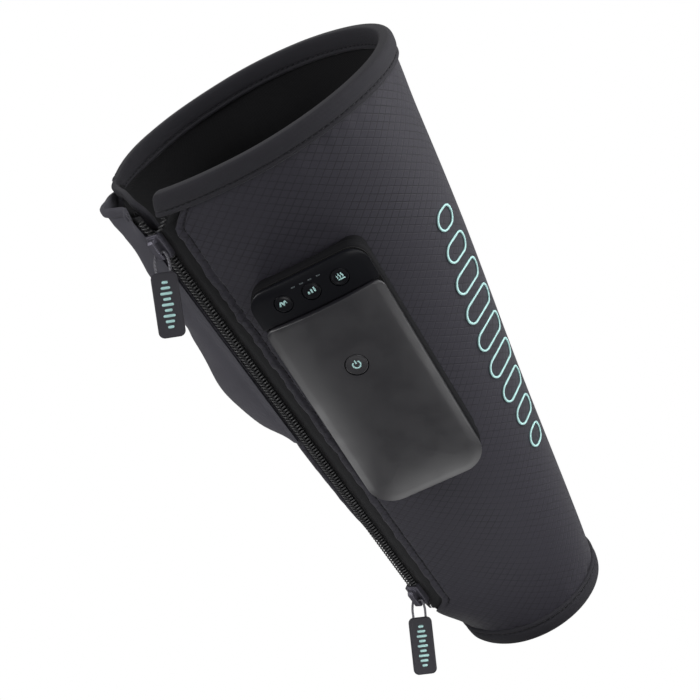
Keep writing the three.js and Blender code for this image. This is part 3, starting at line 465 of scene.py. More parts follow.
finishes = {
    "ripstop": ripstop(),
    # Painted light: the gusset's cloth and the tape over its top are painted far lighter than the sleeve's
    # ripstop, for the light falling on the wedge.
    "gusset": plain_cloth("gusset_cloth_painted_light", (68, 67, 74), (82, 81, 89), 0.9, 0.3, 0.62),
    "binding": plain_cloth("binding_tape", (38, 37, 43), (46, 45, 51), 0.8, 0.5, 0.7),
    # Partly painted shade: the lining is dark knit, and its colour is painted darker still for the shade
    # inside the sleeve; the guard flap takes it too.
    "lining": plain_cloth("lining_knit_painted_shade", (9, 9, 12), (13, 13, 16), 1.1, 0.6, 0.85),
    "tape": plain_cloth("zip_tape", (20, 20, 23), (27, 27, 30), 0.7, 0.9, 0.66),
    "thread": plain_cloth("sewing_thread", (26, 26, 30), (40, 39, 45), 0.5, 0.5, 0.6),
    "coil": moulded("coil_nylon", (38, 38, 40), 0.34, 3000.0, 0.00001, 8, Specular_IOR_Level=0.8),
    "slider": moulded("slider_gunmetal", (104, 102, 112), 0.42, 2600.0, 0.00002, 16, Metallic=0.75),
    # The cord's colour darkens into the grooves between its strands: painted shade.
    "cord": twisted("pull_cord", (108, 107, 112), (140, 139, 146)),
    "tab": moulded("tab_rubber", (54, 53, 59), 0.6, 2200.0, 0.00003, 6, Specular_IOR_Level=0.4),
    "cover": moulded(
        "cover_matte", (35, 34, 39), 0.36, 3200.0, 0.00001, 5,
        Specular_IOR_Level=1.0, Coat_Weight=0.35, Coat_Roughness=0.3,
    ),
    "casing": moulded("casing_matte", (14, 14, 17), 0.75, 3200.0, 0.00002, 4, Specular_IOR_Level=0.2),
    "gloss": moulded(
        "panel_gloss", (10, 11, 17), 0.3, 900.0, 0.000002, 3,
        Specular_IOR_Level=0.25, Coat_Weight=0.1, Coat_Roughness=0.2,
    ),
    # Painted shade: a near-black floor seen only through the thin ring round each key, standing for the shade
    # in its groove.
    "groove": moulded("key_groove", (12, 12, 14), 0.6, 2000.0, 0.00001, 3),
    "mint": moulded("mint_print", (196, 242, 239), 0.5, 2500.0, 0.00001, 8),
    "lamp": moulded("lamp_window", (64, 72, 76), 0.3, 2500.0, 0.00001, 8),
    "gasket": moulded("gasket_rubber", (18, 18, 19), 0.8, 2500.0, 0.00002, 4),
    "film": moulded("bladder_film", (106, 110, 114), 0.45, 600.0, 0.0001, 10),
    "felt": moulded("heater_felt", (92, 84, 78), 0.9, 1800.0, 0.0001, 14),
    "hose": moulded("hose_rubber", (32, 32, 34), 0.6, 2000.0, 0.00002, 6),
    "steel": moulded("drawn_steel", (170, 172, 176), 0.3, 1800.0, 0.00002, 14, Metallic=0.95),
    "cell": moulded("cell_film", (150, 153, 158), 0.35, 700.0, 0.00005, 12, Metallic=0.6),
    "natural": moulded("natural_plastic", (208, 208, 203), 0.5, 1500.0, 0.00002, 10),
    "board": printed_board(),
}


# Meshes

def make(name, points, faces, finish, body, cloth=None, replaces=(), slot=None):
    """A piece from points in the drawing's millimetres; cloth is each point's place on the flat cloth."""
    mesh = bpy.data.meshes.new(name)
    placed = (np.asarray(points, float).reshape(-1, 3) + SHIFT) * MM
    mesh.from_pydata(placed.tolist(), [], [tuple(int(i) for i in face) for face in faces])
    if cloth is not None:
        flat_place = mesh.attributes.new("cloth", "FLOAT_VECTOR", "POINT")
        values = np.zeros((len(placed), 3))
        values[:, :2] = np.asarray(cloth, float).reshape(-1, 2)
        flat_place.data.foreach_set("vector", values.ravel())
    mesh.materials.append(finishes[finish])
    mesh.polygons.foreach_set("use_smooth", [True] * len(mesh.polygons))
    mesh.update()
    piece = shown(name, mesh)
    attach(piece, body)
    if replaces:
        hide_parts(*replaces)
    return piece


def shown(name, data):
    """An object of the scene."""
    thing = bpy.data.objects.new(name, data)
    bpy.context.scene.collection.objects.link(thing)
    return thing


def grid_faces(rows, columns, round_rows=False, round_columns=False, turned=False):
    faces = []
    for i in range(rows if round_rows else rows - 1):
        row, next_row = i * columns, (i + 1) % rows * columns
        for j in range(columns if round_columns else columns - 1):
            after = (j + 1) % columns
            face = (row + j, row + after, next_row + after, next_row + j)
            faces.append(face[::-1] if turned else face)
    return faces


def capped_faces(rows, sides):
    """The faces of a skin of round rows, closed at both its ends."""
    last = (rows - 1) * sides
    ends = [tuple(reversed(range(sides))), tuple(range(last, last + sides))]
    return grid_faces(rows, sides, round_columns=True) + ends


def reshape(piece, change):
    """Makes a change to a piece's mesh, which the change gets as an open bmesh."""
    shape = bmesh.new()
    shape.from_mesh(piece.data)
    change(shape)
    shape.to_mesh(piece.data)
    shape.free()
    return piece


def face_out(piece):
    """Turns a closed piece's faces outwards."""
    return reshape(piece, lambda shape: bmesh.ops.recalc_face_normals(shape, faces=shape.faces))


def solid(*args, **more):
    """A closed piece; it takes what make takes."""
    return face_out(make(*args, **more))


def skin(path, radius, sides):
    """A round skin along a path: its points, their faces and their place on the skin."""
    path = np.asarray(path, float)
    ahead = unit(np.gradient(path, axis=0))
    side = np.cross(ahead[0], [0.1, 0.2, 1.0])
    sides_at = []
    for direction in ahead:
        side = unit(side - direction * (side @ direction))
        sides_at.append(side)
    sides_at = np.array(sides_at)
    others = np.cross(ahead, sides_at)
    turns = np.arange(sides) / sides * math.tau
    ring = np.cos(turns)[None, :, None] * sides_at[:, None] + np.sin(turns)[None, :, None] * others[:, None]
    points = path[:, None] + radius * ring
    cloth = np.stack(np.broadcast_arrays(turns[None, :] * radius, run_along(path)[:, None]), axis=-1)
    return points.reshape(-1, 3), capped_faces(len(path), sides), cloth.reshape(-1, 2)


def tube(name, path, radius, sides, finish, body, **more):
    points, faces, cloth = skin(path, radius, sides)
    return solid(name, points, faces, finish, body, cloth, **more)


def joined(name, parts, finish, body, **more):
    """Several skins as one piece."""
    points, faces, cloth, start = [], [], [], 0
    for some_points, some_faces, some_cloth in parts:
        points.append(some_points)
        cloth.append(some_cloth)
        faces += [tuple(start + i for i in face) for face in some_faces]
        start += len(some_points)
    return solid(name, np.vstack(points), faces, finish, body, np.vstack(cloth), **more)


STITCH = 2.3
STITCH_GAP = 1.1
THREAD_RADIUS = 0.3


def stitches(name, path, outwards):
    """A row of thread stitches on the sleeve, each sunk a little at its two ends."""
    run = run_along(path)
    shares = np.linspace(0, 1, 6)
    lift = np.sin(shares * math.pi) * THREAD_RADIUS * 1.3
    parts = []
    for start in np.arange(STITCH_GAP, run[-1] - STITCH, STITCH + STITCH_GAP):
        at = start + shares * STITCH
        line = read_off(at, run, path) + read_off(at, run, outwards) * lift[:, None]
        parts.append(skin(line, THREAD_RADIUS, 5))
    return joined(name, parts, "thread", "sleeve")


def outward(angle, height):
    """The outer face's normal, from its neighbours."""
    around = wall_point(np.asarray(angle) + 0.5, 0, height) - wall_point(np.asarray(angle) - 0.5, 0, height)
    along = wall_point(angle, 0, np.asarray(height) + 1) - wall_point(angle, 0, np.asarray(height) - 1)
    return unit(np.cross(around, along))


# The sleeve's cloth

RIM_LINE = LENGTH - BINDING
CLOTH_ROWS = ((3, 30, 2.5), (30, 52, 1.6), (52, 330, 2.6), (330, 359, 2.0))  # from, to, step
CLOTH_COLUMNS = 220
EDGE_STEPS = (0, 0.5, 1.1, 1.8, 2.6, 3.4, 4.0, 4.4, 4.8, 5.2, 5.6, 6.0, 6.6, 7.6, 9, 11, 14, 18)
STITCH_COLUMN = 9
EDGE_FOLD = np.array([WALL * 0.95, WALL * 0.5, 1.8, 0.7])  # depths of the cloth folded over the wall's edge
TAPE_GAP = 0.3
TAPE_FOOT = (-12, 3)
SEAM_HEIGHT = 0.75
SEAM_RISE = 1.6
SEAM_FLAT = 3.4
SEAM_WIDTH = 5.2
SEAM_FURROW = (0.6, 0.8)  # depth, half width
SEAM_FOOT = (34, 50)
EDGE_FALL = (0.5, 1.0)  # how far the cloth drops at its very edge, and over what way
PRESSED_UNDER_GUSSET = 0.35
PRESSED_FADE = 9
SEAM_STITCHES_FROM = 40
SEAM_STITCH_DEPTH = 0.25
TUCKS = ((0.35, 5), (0.3, 6))  # at the rim and the hem: height, seed
TUCK_LENGTH = 13
TUCK_STRETCH = 2.2
TUCK_FADE = 9
PUCKERS = ((0.5, 8, 11, 7), (0.22, 9, 4.5, 5))  # beside the zip: height, seed, length, fade
BACK_PUCKER_SHARE = 0.25

# The bound edge of the opening behind the zip: across, up and out of the chain, and the degrees that its
# face is turned
OPENING = np.array([
    (-24.5, 307, -20, 40), (-12.5, 304.8, -10.6, 28), (-7, 300.2, -7.8, 10), (-6, 294.5, -7.2, 0),
    (-6, 288.5, -7.3, 0), (-5.2, 282.5, -7.8, 0), (-1, 277, -8.4, 0), (5, 272, -9, 0),
    (14, 265.5, -9.8, 0), (23, 261, -12, 0),
])
# How far the wall's back edge is drawn back from the zip for that opening, by height
OPENING_HEIGHTS = (336, 340, 345, 349, 352, 360)
LINING_BACK = (0, 2, 8, 22, 34, 38)
CLOTH_BACK = (0, 3, 13, 27, 36, 38)


def lean(along, reach):
    """How far a tape leans away from the chain's line where the zip is parted."""
    return reach * np.maximum(0, np.asarray(along, float) - part_from) / PART_HEIGHT


def chain_part(side, along):
    """How far a coil has left the chain's middle above the slider."""
    reach, spread = (FRONT_PART, 5.0) if side > 0 else (BACK_PART, 1.2)
    return lean(along, reach) + spread * smooth(along, part_from - 3, part_from + 5)


def front_edge(along):
    return (FRONT_TAPE + TAPE_GAP) * smooth(along, *TAPE_FOOT) + lean(along, FRONT_PART)


def back_edge(along):
    return -(BACK_TAPE + TAPE_GAP) * smooth(along, *TAPE_FOOT) - lean(along, BACK_PART)


def up_chain(height):
    """How far up the chain a height is; chain_height is the other way round."""
    return (height - ZIP_END_HEIGHT) / zip_up[2]


def chain_height(along):
    return zip_foot[2] + along * zip_up[2]


def angle_at(zip_x, height):
    """The angle where the wall at a height stands a given way across the zip."""
    angles = np.arange(165, 262, 0.5)
    across = in_zip(wall_point(angles, 0, height))[:, 0]
    return float(np.interp(zip_x, across, angles))


def edge_angles(height, drawn_back):
    """The wall's two edges at the zip; near the rim the back one keeps off, for the bound opening."""
    along = up_chain(height)
    back = float(back_edge(along)) - float(np.interp(height, OPENING_HEIGHTS, drawn_back))
    return angle_at(float(front_edge(along)), height), angle_at(back, height)


def cloth_row(height):
    """One row's points from the zip's front edge round to its back edge: their angles, their run from that
    edge, the whole run, and the run at the shin."""
    first, last = edge_angles(height, CLOTH_BACK)
    angles = np.append(np.arange(first, last + 360, 0.5), last + 360)
    run = run_along(wall_point(angles, 0, height))
    steps = np.array(EDGE_STEPS, float)
    middle = np.linspace(steps[-1], run[-1] - steps[-1], CLOTH_COLUMNS + 2)[1:-1]
    at = np.concatenate([steps, middle, run[-1] - steps[::-1]])
    return np.interp(at, run, angles), at, run[-1], np.interp(FRONT, angles, run)


def sag(x, height):
    """The soft unevenness of the padded wall, outwards."""
    uneven = ripple(x, height, seed=3, wavelength=95, stretch=1.6)
    return 0.55 * uneven * smooth(RIM_LINE - height, 0, 40) * smooth(height, 8, 40)


def sleeve_cloth():
    """The outer cloth with its padding: tucks at both bindings, and a turned and stitched seam by the zip."""
    points, cloth, seams = [], [], []
    for height in np.concatenate([np.arange(*rows) for rows in CLOTH_ROWS]):
        angles, at, whole, front_run = cloth_row(height)
        edge = np.minimum(at, whole - at)
        by_front_edge = at < whole / 2
        x = at - front_run
        y = np.full_like(x, height)
        tucks = 0
        for (high, seed), away in zip(TUCKS, (RIM_LINE - height, height - BINDING)):
            fade = np.exp(-max(away, 0) / TUCK_FADE)
            tucks = tucks + high * ripple(x, y, seed, TUCK_LENGTH, TUCK_STRETCH) * fade
        puckers = 0
        for high, seed, length, fade in PUCKERS:
            puckers = puckers + high * ripple(x * 0.3, y, seed, length) * np.exp(-edge / fade)
        puckers = puckers * np.where(by_front_edge, 1.0, BACK_PUCKER_SHARE)
        covered = np.where(by_front_edge, 0.0, smooth(height, GUSSET_START - 6, GUSSET_START + 10))
        turned_in = smooth(edge, 0, SEAM_RISE) * (1 - smooth(edge, SEAM_FLAT, SEAM_WIDTH))
        furrow_depth, furrow = SEAM_FURROW
        seam = SEAM_HEIGHT * (1 - covered) * turned_in - furrow_depth * bell(edge, SEAM_WIDTH, furrow)
        drop, drop_over = EDGE_FALL
        fall = -drop * (1 - smooth(edge, 0, drop_over))
        out = sag(x, y) + tucks * (1 - covered) + (puckers + seam + fall) * smooth(height, *SEAM_FOOT)
        out = out - PRESSED_UNDER_GUSSET * covered * np.exp(-edge / PRESSED_FADE)
        fold = EDGE_FOLD * wall_share(height)
        depths = np.concatenate([fold, -out, fold[::-1]])
        ends = len(EDGE_FOLD)
        row_angles = np.concatenate([[angles[0]] * ends, angles, [angles[-1]] * ends])
        points.append(wall_point(row_angles, depths, height))
        row_x = np.concatenate([x[0] - EDGE_FOLD, x, x[-1] + EDGE_FOLD[::-1]])
        cloth.append(np.stack([row_x, np.full_like(row_x, height)], axis=-1))
        if height > SEAM_STITCHES_FROM:
            seams.append((angles[STITCH_COLUMN], angles[-1 - STITCH_COLUMN], height))
    faces = grid_faces(len(points), len(points[0]))
    replaced = ("outer_fabric", "foam_panel")
    wall = make("sleeve_cloth", points, faces, "ripstop", "sleeve", cloth, replaced, "ripstop_fabric")
    front, back, heights = np.array(seams).T
    for name, angles in (("front_zip_stitches", front), ("back_zip_stitches", back)):
        stitches(name, wall_point(angles, SEAM_STITCH_DEPTH, heights), outward(angles, heights))


LINING_CHANNELS = (132, 240)
CHANNEL_DEPTH = 0.9
CHANNEL_HALF_WIDTH = 3
LINING_SWELL = (1.4, 0.8)  # over all, and its unevenness
LINING_RADIUS = 60  # about, to lay its cloth out flat


def lining():
    """The inner cloth, which swells over the padding between its welded channels."""
    columns = 150
    points, cloth = [], []
    for height in np.arange(3, 359, 4.0):
        first, last = edge_angles(height, LINING_BACK)
        if height < ZIP_END_HEIGHT + 4:
            first = last = (first + last) / 2
        angles = np.linspace(first, last + 360, columns)
        x = np.radians(angles - FRONT) * LINING_RADIUS
        y = np.full_like(x, height)
        even, uneven = LINING_SWELL
        swell = even + uneven * ripple(x, y, seed=21, wavelength=60, stretch=1.4)
        swell = swell * smooth(RIM_LINE - height, 0, 25) * smooth(height, BINDING, 40)
        channels = -CHANNEL_DEPTH * sum(bell(height, at, CHANNEL_HALF_WIDTH) for at in LINING_CHANNELS)
        points.append(wall_point(angles, WALL * wall_share(height) + swell + channels, height))
        cloth.append(np.stack([x, y], axis=-1))
    faces = grid_faces(len(points), columns, turned=True)
    # The lining's colour is painted darker than its knit, for the shade inside the sleeve.
    make("sleeve_lining", points, faces, "lining", "sleeve", cloth, ("inner_lining",), "lining_fabric")


TAPE_OUTLINE = (  # over an edge of the wall: depth, and way in from the edge
    (-0.1, 12.6), (-1.0, 12.4), (-1.7, 11.7), (-1.8, 10.9), (-1.35, 10.1), (-0.75, 9.6), (-1.2, 9.1),
    (-1.8, 8.2), (-2.1, 6.4), (-2.1, 4.2), (-1.9, 2.4), (-1.3, 1.0), (-0.2, 0.15), (1.4, 0.0), (3.2, 0.0),
    (4.8, 0.2), (5.8, 1.2), (6.2, 3.0), (6.3, 6.0), (6.0, 8.8), (5.4, 9.6), (5.9, 10.4), (6.0, 11.4),
    (5.4, 12.2), (4.6, 12.4),
)
TAPE_MIDDLE = (2.1, 6.3)
TAPE_STITCH_LINE = 9.6
RIM_TAPE_ENDS = (12.2, -42.0)  # across the zip: where it starts, and where it turns off into the opening
RIM_TAPE_SLANT = (-0.38, 16)  # how far its first end is cut askew, and the run that evens it out
NARROWING = (-46, 16)  # its run from where the rim ends
NARROWED_SHARES = (0.44, 0.42)  # of its width and depth along the opening
ROUNDED_END = 3.5
ROUNDED_END_SHARES = (0.8, 0.55)


def tape_profile():
    """The folded tape's outline, with its stitched furrow."""
    return through(TAPE_OUTLINE, 64)


def band_frame(ahead, facing):
    """The directions down and out of a band whose outside faces a given way."""
    downs = unit(np.cross(ahead, facing))
    return downs, np.cross(downs, ahead)


def top_binding():
    """The rim's folded tape; at its back end it narrows and runs down the edge of the opening."""
    profile = tape_profile()
    middle_depth, middle_in = TAPE_MIDDLE
    height = LENGTH - middle_in
    start, turn_off = RIM_TAPE_ENDS
    angles = np.linspace(angle_at(start, height), angle_at(turn_off, height) + 360, 60)
    wave = 0.25 * ripple(angles, np.zeros(len(angles)), seed=31, wavelength=50)
    keys = np.vstack([wall_point(angles, middle_depth - wave, height), zip_point(*OPENING[:, :3].T)])
    turned = np.radians(OPENING[:, 3])
    facing = np.outer(np.cos(turned), zip_out) - np.outer(np.sin(turned), zip_side)
    dense = through(np.hstack([keys, np.vstack([outward(angles, height), facing])]), 3000)
    dense_run = run_along(dense[:, :3])
    round_end = dense_run[np.argmin(np.linalg.norm(dense[:, :3] - keys[len(angles) - 1], axis=1))]
    run = np.concatenate([[0, 0.2, 0.5, 1.1, 2, 3], np.arange(4.2, dense_run[-1], 1.5)])
    path, outs = np.split(read_off(run, dense_run, dense), 2, axis=1)
    ahead = np.gradient(path, run, axis=0)
    downs, outs = band_frame(ahead, outs)
    narrow = smooth(run - round_end, *NARROWING)
    end = np.sqrt(np.maximum(0, 1 - (1 - np.minimum(run / ROUNDED_END, 1)) ** 2))
    shares = zip(NARROWED_SHARES, ROUNDED_END_SHARES)
    widths, depths = (lerp(1, narrowed, narrow) * lerp(rounded, 1, end) for narrowed, rounded in shares)
    askew, evened_by = RIM_TAPE_SLANT
    slant = askew * (1 - smooth(run, 0, evened_by))

    def on_tape(i, depth, way_in):
        """A place on the tape's outline, at one or all steps of its run."""
        down = (way_in - middle_in) * widths[i]
        out = (middle_depth - depth) * depths[i]
        along = slant[i] * way_in
        return path[i] + down[:, None] * downs[i] + out[:, None] * outs[i] + along[:, None] * ahead[i]

    points, cloth = [], []
    for i in range(len(path)):
        points.append(on_tape(i, profile[:, 0], profile[:, 1]))
        cloth.append(np.stack([np.full(len(profile), run[i]), profile[:, 1] * widths[i]], axis=-1))
    faces = capped_faces(len(points), len(profile))
    solid("rim_binding", points, faces, "binding", "sleeve", cloth, ("top_binding",), "binding_tape")
    kept = (run > 3) & (run < round_end + 20)
    for name, depth, side in (("rim_stitches", -0.85, 1), ("rim_inner_stitches", 5.5, -1)):
        line = on_tape(slice(None), depth, TAPE_STITCH_LINE)
        stitches(name, line[kept], outs[kept] * side)


def bottom_binding():
    """The hem's folded tape, all the way round."""
    profile = tape_profile()
    angles = np.arange(0, 360, 1.5)
    points = [wall_point(angle, profile[:, 0], profile[:, 1]) for angle in angles]
    cloth = [np.stack([np.full(len(profile), angle * 0.8), profile[:, 1]], axis=-1) for angle in angles]
    faces = grid_faces(len(points), len(profile), round_rows=True, round_columns=True)
    solid("hem_binding", points, faces, "binding", "sleeve", cloth, ("bottom_binding",), "binding_tape")
    seam = np.append(angles, 360)
    stitches("hem_stitches", wall_point(seam, -0.95, TAPE_STITCH_LINE), outward(seam, TAPE_STITCH_LINE))


FLAP_ANGLES = (196, 232)
FLAP_MIDDLE = 213
FLAP_GAP = 1.4
FLAP_SPREAD = 1.4  # cloth for each degree


def guard_flap():
    """The flap behind the zip; its top runs along the bound edge of the opening."""
    angles = np.linspace(*FLAP_ANGLES, 60)
    depth = WALL + FLAP_GAP
    across = in_zip(wall_point(angles, depth, LENGTH - 40))[:, 0]
    along = np.interp(across, OPENING[:, 0], OPENING[:, 1]) - 0.6
    top = np.minimum(chain_height(along), RIM_LINE + 3)
    x = (angles - FLAP_MIDDLE) * FLAP_SPREAD
    points, cloth = [], []
    for part in np.linspace(0, 1, 64):
        height = lerp(ZIP_END_HEIGHT, top, part)
        wrinkle = 0.5 * ripple(x, height, seed=41, wavelength=40)
        wrinkle = wrinkle * smooth(part, 0, 0.2) * (1 - smooth(part, 0.85, 1))
        points.append(wall_point(angles, depth + wrinkle, height))
        cloth.append(np.stack([x, height], axis=-1))
    faces = grid_faces(len(points), len(angles), turned=True)
    # The flap takes the lining's colour, painted darker for the shade inside the sleeve.
    make("guard_flap_cloth", points, faces, "lining", "sleeve", cloth, ("zip_guard_flap",), "lining_fabric")


GUSSET_WIDTH = 44.0  # nominal, to lay its weave out flat
GUSSET_COLUMNS = 60
POCKET_INSET = 1.4  # of the inner sheet behind the outer one
GUSSET_TOP = (  # share of the width from the zip, height
    (0, 353), (0.1, 356), (0.22, 358.2), (0.35, 357.6), (0.5, 355.5), (0.7, 353), (0.85, 350.5), (1, 348),
)
GUSSET_FOLD = (1.2, 268, 14, 7)  # the cross fold: depth, height by the zip, its rise across, half width
GUSSET_TUCK = (5.5, 0.1, 0.11)  # how deep, where across and how wide it is pressed in below the rim
GUSSET_TAPE_OUTLINE = (  # out, and down
    (-0.9, 3.6), (-1.15, 1.8), (-0.9, 0.1), (0, -0.6), (0.9, 0.1), (1.15, 1.8), (0.9, 3.6), (0, 4.0),
)


def gusset_rise(height):
    """How far the wedge stands off the wall at its fullest, up its height."""
    line = through(GUSSET_SHARES, 60)
    share = (height - GUSSET_START) / (LENGTH - GUSSET_START)
    return GUSSET_REACH * np.interp(share, line[:, 0], line[:, 1])


def gusset_row(share, foot, inset):
    """A row of the wedge, from the zip to its seam: its points, and their place on the cloth."""
    shares = np.linspace(0, 1, GUSSET_COLUMNS)
    arch = np.sin(math.pi * shares)
    top_line = through(GUSSET_TOP, 80)
    height = lerp(foot, np.interp(shares, top_line[:, 0], top_line[:, 1]), share)
    low = float(height[0])
    front = angle_at(float(back_edge(up_chain(low))) - 0.2, low)
    angles = lerp(front, GUSSET_FROM, shares)
    x = shares * GUSSET_WIDTH
    lean_share = np.clip((angles - GUSSET_FROM) / (GUSSET_TO - GUSSET_FROM), 0, 1)
    swell = gusset_rise(height) * np.sin(math.pi * (1 - lean_share) ** GUSSET_LEAN)
    swell = swell * (1 - 0.85 * smooth(height, 312, 336))
    folds = 0.8 * ripple(x + height * 0.35, height, seed=51, wavelength=46, stretch=1.2)
    folds = folds * arch * smooth(height, GUSSET_START, 205)
    fold_depth, fold_height, fold_rise, fold_width = GUSSET_FOLD
    folds = folds - fold_depth * bell(height - fold_rise * shares, fold_height, fold_width) * arch
    near_rim = smooth(height, RIM_LINE - 8, RIM_LINE) * smooth(shares, 0.05, 0.25)
    deep, tuck_at, tuck_width = GUSSET_TUCK
    tuck = deep * smooth(height, 338, 356) * bell(shares, tuck_at, tuck_width) * smooth(shares, 0, 0.06)
    out = np.maximum(0.9, swell + 1.0 + folds + near_rim) * smooth(shares, -0.03, 0.03) - inset
    return wall_point(angles, tuck - np.maximum(0.35, out), height), np.stack([x, height], axis=-1)


def gusset():
    """The folded wedge behind the zip: an outer sheet, and over its top into the pocket the inner one."""
    rows = [gusset_row(share, GUSSET_START, 0.0) for share in np.linspace(0, 1, 66)]
    top_row = rows[-1][0]
    rows += [gusset_row(1.0035, GUSSET_POCKET, inset) for inset in (0.5, 1.0)]
    rows += [gusset_row(share, GUSSET_POCKET, POCKET_INSET) for share in np.linspace(1, 0, 26)]
    points, cloth = zip(*rows)
    faces = grid_faces(len(rows), GUSSET_COLUMNS, turned=True)
    # The wedge's cloth is painted far lighter than the sleeve's ripstop, for the light falling on it: painted
    # light.
    make("gusset_cloth_painted_light", points, faces, "gusset", "sleeve", cloth, ("gusset_panel",), "ripstop_fabric")
    gusset_binding(top_row)


def gusset_binding(top_row):
    """The narrow tape folded over the wedge's top."""
    line = through(top_row[1:-1:3], 110)
    _, outs = band_frame(unit(np.gradient(line, axis=0)), unit(zip_out * 0.6 - zip_side * 0.8))
    edge = through(GUSSET_TAPE_OUTLINE, 26)
    drop = (edge[:, 1:] - 0.2) * np.array([0, 0, 1.0])
    points = [line[i] + (edge[:, :1] + 0.5) * outs[i] - drop for i in range(len(line))]
    cloth = [np.stack([np.full(len(edge), i * 0.5), edge[:, 1]], axis=-1) for i in range(len(line))]
    faces = capped_faces(len(points), len(edge))
    # The tape takes the wedge's colour, painted lighter for the light falling on it: painted light.
    solid("gusset_edge", points, faces, "gusset", "sleeve", cloth, ("gusset_binding",), "binding_tape")


# The zip

COIL_RADIUS = 0.5
COIL_MIDDLE = 1.35  # above the tape
COIL_HALF_HEIGHT = 0.95
COIL_END = 14.0  # below the rim
TAPE_UNDER = 2.0  # how far each tape runs on under the cloth
BEHIND_COIL = -0.25


def sink(side, along):
    """How far the wall has fallen away under the front coil where it leans off the chain."""
    if side < 0:
        return 0.0
    x = 1.5 + float(chain_part(1, along))
    height = chain_height(along)
    fallen = float(in_zip(wall_point(angle_at(x, height), 0, height))[2])
    return fallen * float(smooth(along, part_from, zip_length))


def zip_tapes():
    """The two woven tapes, which part near the rim."""
    shares = np.linspace(0, 1, 12)
    rows = np.concatenate([np.arange(-6, part_from, 3.0), np.arange(part_from, zip_length - 9, 1.5)])
    for word, side, edge in (("right", 1, front_edge), ("left", -1, back_edge)):
        points, cloth = [], []
        for along in rows:
            near = side * float(chain_part(side, along)) + side * 0.2
            far = float(edge(along)) + side * TAPE_UNDER
            x = lerp(near, far, shares)
            y = np.full_like(x, along)
            height = chain_height(along)
            under_cloth = in_zip(wall_point(angle_at(far, height), 2.2, height))[2]
            z = lerp(BEHIND_COIL + sink(side, along), under_cloth, smooth(shares, 0.45, 1.0))
            points.append(zip_point(x, y, z + 0.12 * ripple(x, y, seed=61, wavelength=20)))
            cloth.append(np.stack([x, y], axis=-1))
        faces = grid_faces(len(points), len(shares), turned=side < 0)
        replaced = (word + "_zip_tape",)
        make(word + "_tape_cloth", points, faces, "tape", "sleeve", cloth, replaced, "zip_tape")


def zip_coils():
    """Each coil is one long flattened spring; the two are half a turn apart where they meet."""
    steps = 10
    turns = int((zip_length - COIL_END) / COIL_PITCH)
    t = np.arange(turns * steps + 1) / steps
    swing = np.cos(t * math.tau)
    for word, side, phase in (("right", 1, 0.0), ("left", -1, 0.5)):
        y = 0.6 + (t + phase) * COIL_PITCH
        x = side * (1.62 - 1.56 * swing - 0.12 * swing**3) + side * chain_part(side, y)
        fallen = np.interp(y, y[::steps], [sink(side, along) for along in y[::steps]])
        z = COIL_MIDDLE + COIL_HALF_HEIGHT * np.sin(t * math.tau) + fallen
        more = {"replaces": (word + "_zip_coil",), "slot": "zip_coil"}
        tube(word + "_coil_turns", zip_point(x, y, z), COIL_RADIUS, 6, "coil", "sleeve", **more)


def hang(lift, twist):
    """The turn that hangs a pull from its slider: lifted off the chain, then twisted."""
    a, b = -math.radians(lift), math.radians(twist)
    lifted = np.array([[1, 0, 0], [0, math.cos(a), -math.sin(a)], [0, math.sin(a), math.cos(a)]])
    twisted_round = np.array([[math.cos(b), 0, math.sin(b)], [0, 1, 0], [-math.sin(b), 0, math.cos(b)]])
    return lifted @ twisted_round


def arc(x, y, radius, start, end, steps):
    turns = np.radians(np.linspace(start, end, steps))
    return np.stack([x + radius * np.cos(turns), y + radius * np.sin(turns)], axis=-1)


def capsule(x, y, half_length, radius, steps=8):
    """A pill's outline, long along x."""
    right = arc(x + half_length, y, radius, 90, -90, steps)
    left = arc(x - half_length, y, radius, -90, -270, steps)
    return np.vstack([right, left])


def plate(outline, low, high, place):
    """A flat shape with a thickness; place gives each corner's point."""
    count = len(outline)
    points = np.vstack([place(outline[:, 0], outline[:, 1], z) for z in (low, high)])
    faces = [tuple(reversed(range(count))), tuple(range(count, 2 * count))]
    faces += [(i, (i + 1) % count, count + (i + 1) % count, count + i) for i in range(count)]
    return points, faces, np.vstack([outline, outline])


def rounded_ring(low_x, high_x, low_y, high_y, foot_radius, top_radius, corner_steps=9, side_steps=6):
    """Points round a rounded rectangle, the same number for any size."""
    foot = max(foot_radius, 0.05)
    top = max(top_radius, 0.05)
    corners = [
        arc(high_x - foot, low_y + foot, foot, -90, 0, corner_steps),
        arc(high_x - top, high_y - top, top, 0, 90, corner_steps),
        arc(low_x + top, high_y - top, top, 90, 180, corner_steps),
        arc(low_x + foot, low_y + foot, foot, 180, 270, corner_steps),
    ]
    ring = []
    for corner, after in zip(corners, corners[1:] + corners[:1]):
        ring.extend(corner)
        ring.extend(lerp(corner[-1], after[0], share) for share in np.linspace(0, 1, side_steps + 2)[1:-1])
    return np.array(ring)


CORD_ROOM = 0.6  # beside the slider's crown
CORD_IN_TAB = 3.0
TAB_CORNER = 3.2
TAB_EDGE = 0.9
TAB_BARS = (0.9, 1.7, 2.4, 1.3, 2.4, 1.3, 2.4, 1.7, 0.9)  # half lengths
TAB_BAR_SPACING = 2.9
TAB_BAR_RADIUS = 0.72


def pull(word, along, lift):
    """A slider's pull, hung from the pin in its crown."""
    pin = np.array([0, along - CROWN_PIN_DROP, CROWN_PIN_LIFT])
    turn = hang(lift, PULL_TWIST)

    def place(x, y, z):
        at = np.stack(np.broadcast_arrays(np.asarray(x, float), y, z), axis=-1) @ turn.T + pin
        return zip_point(*at.T)

    pull_cord(word, pin, place)
    pull_tab(word, place)


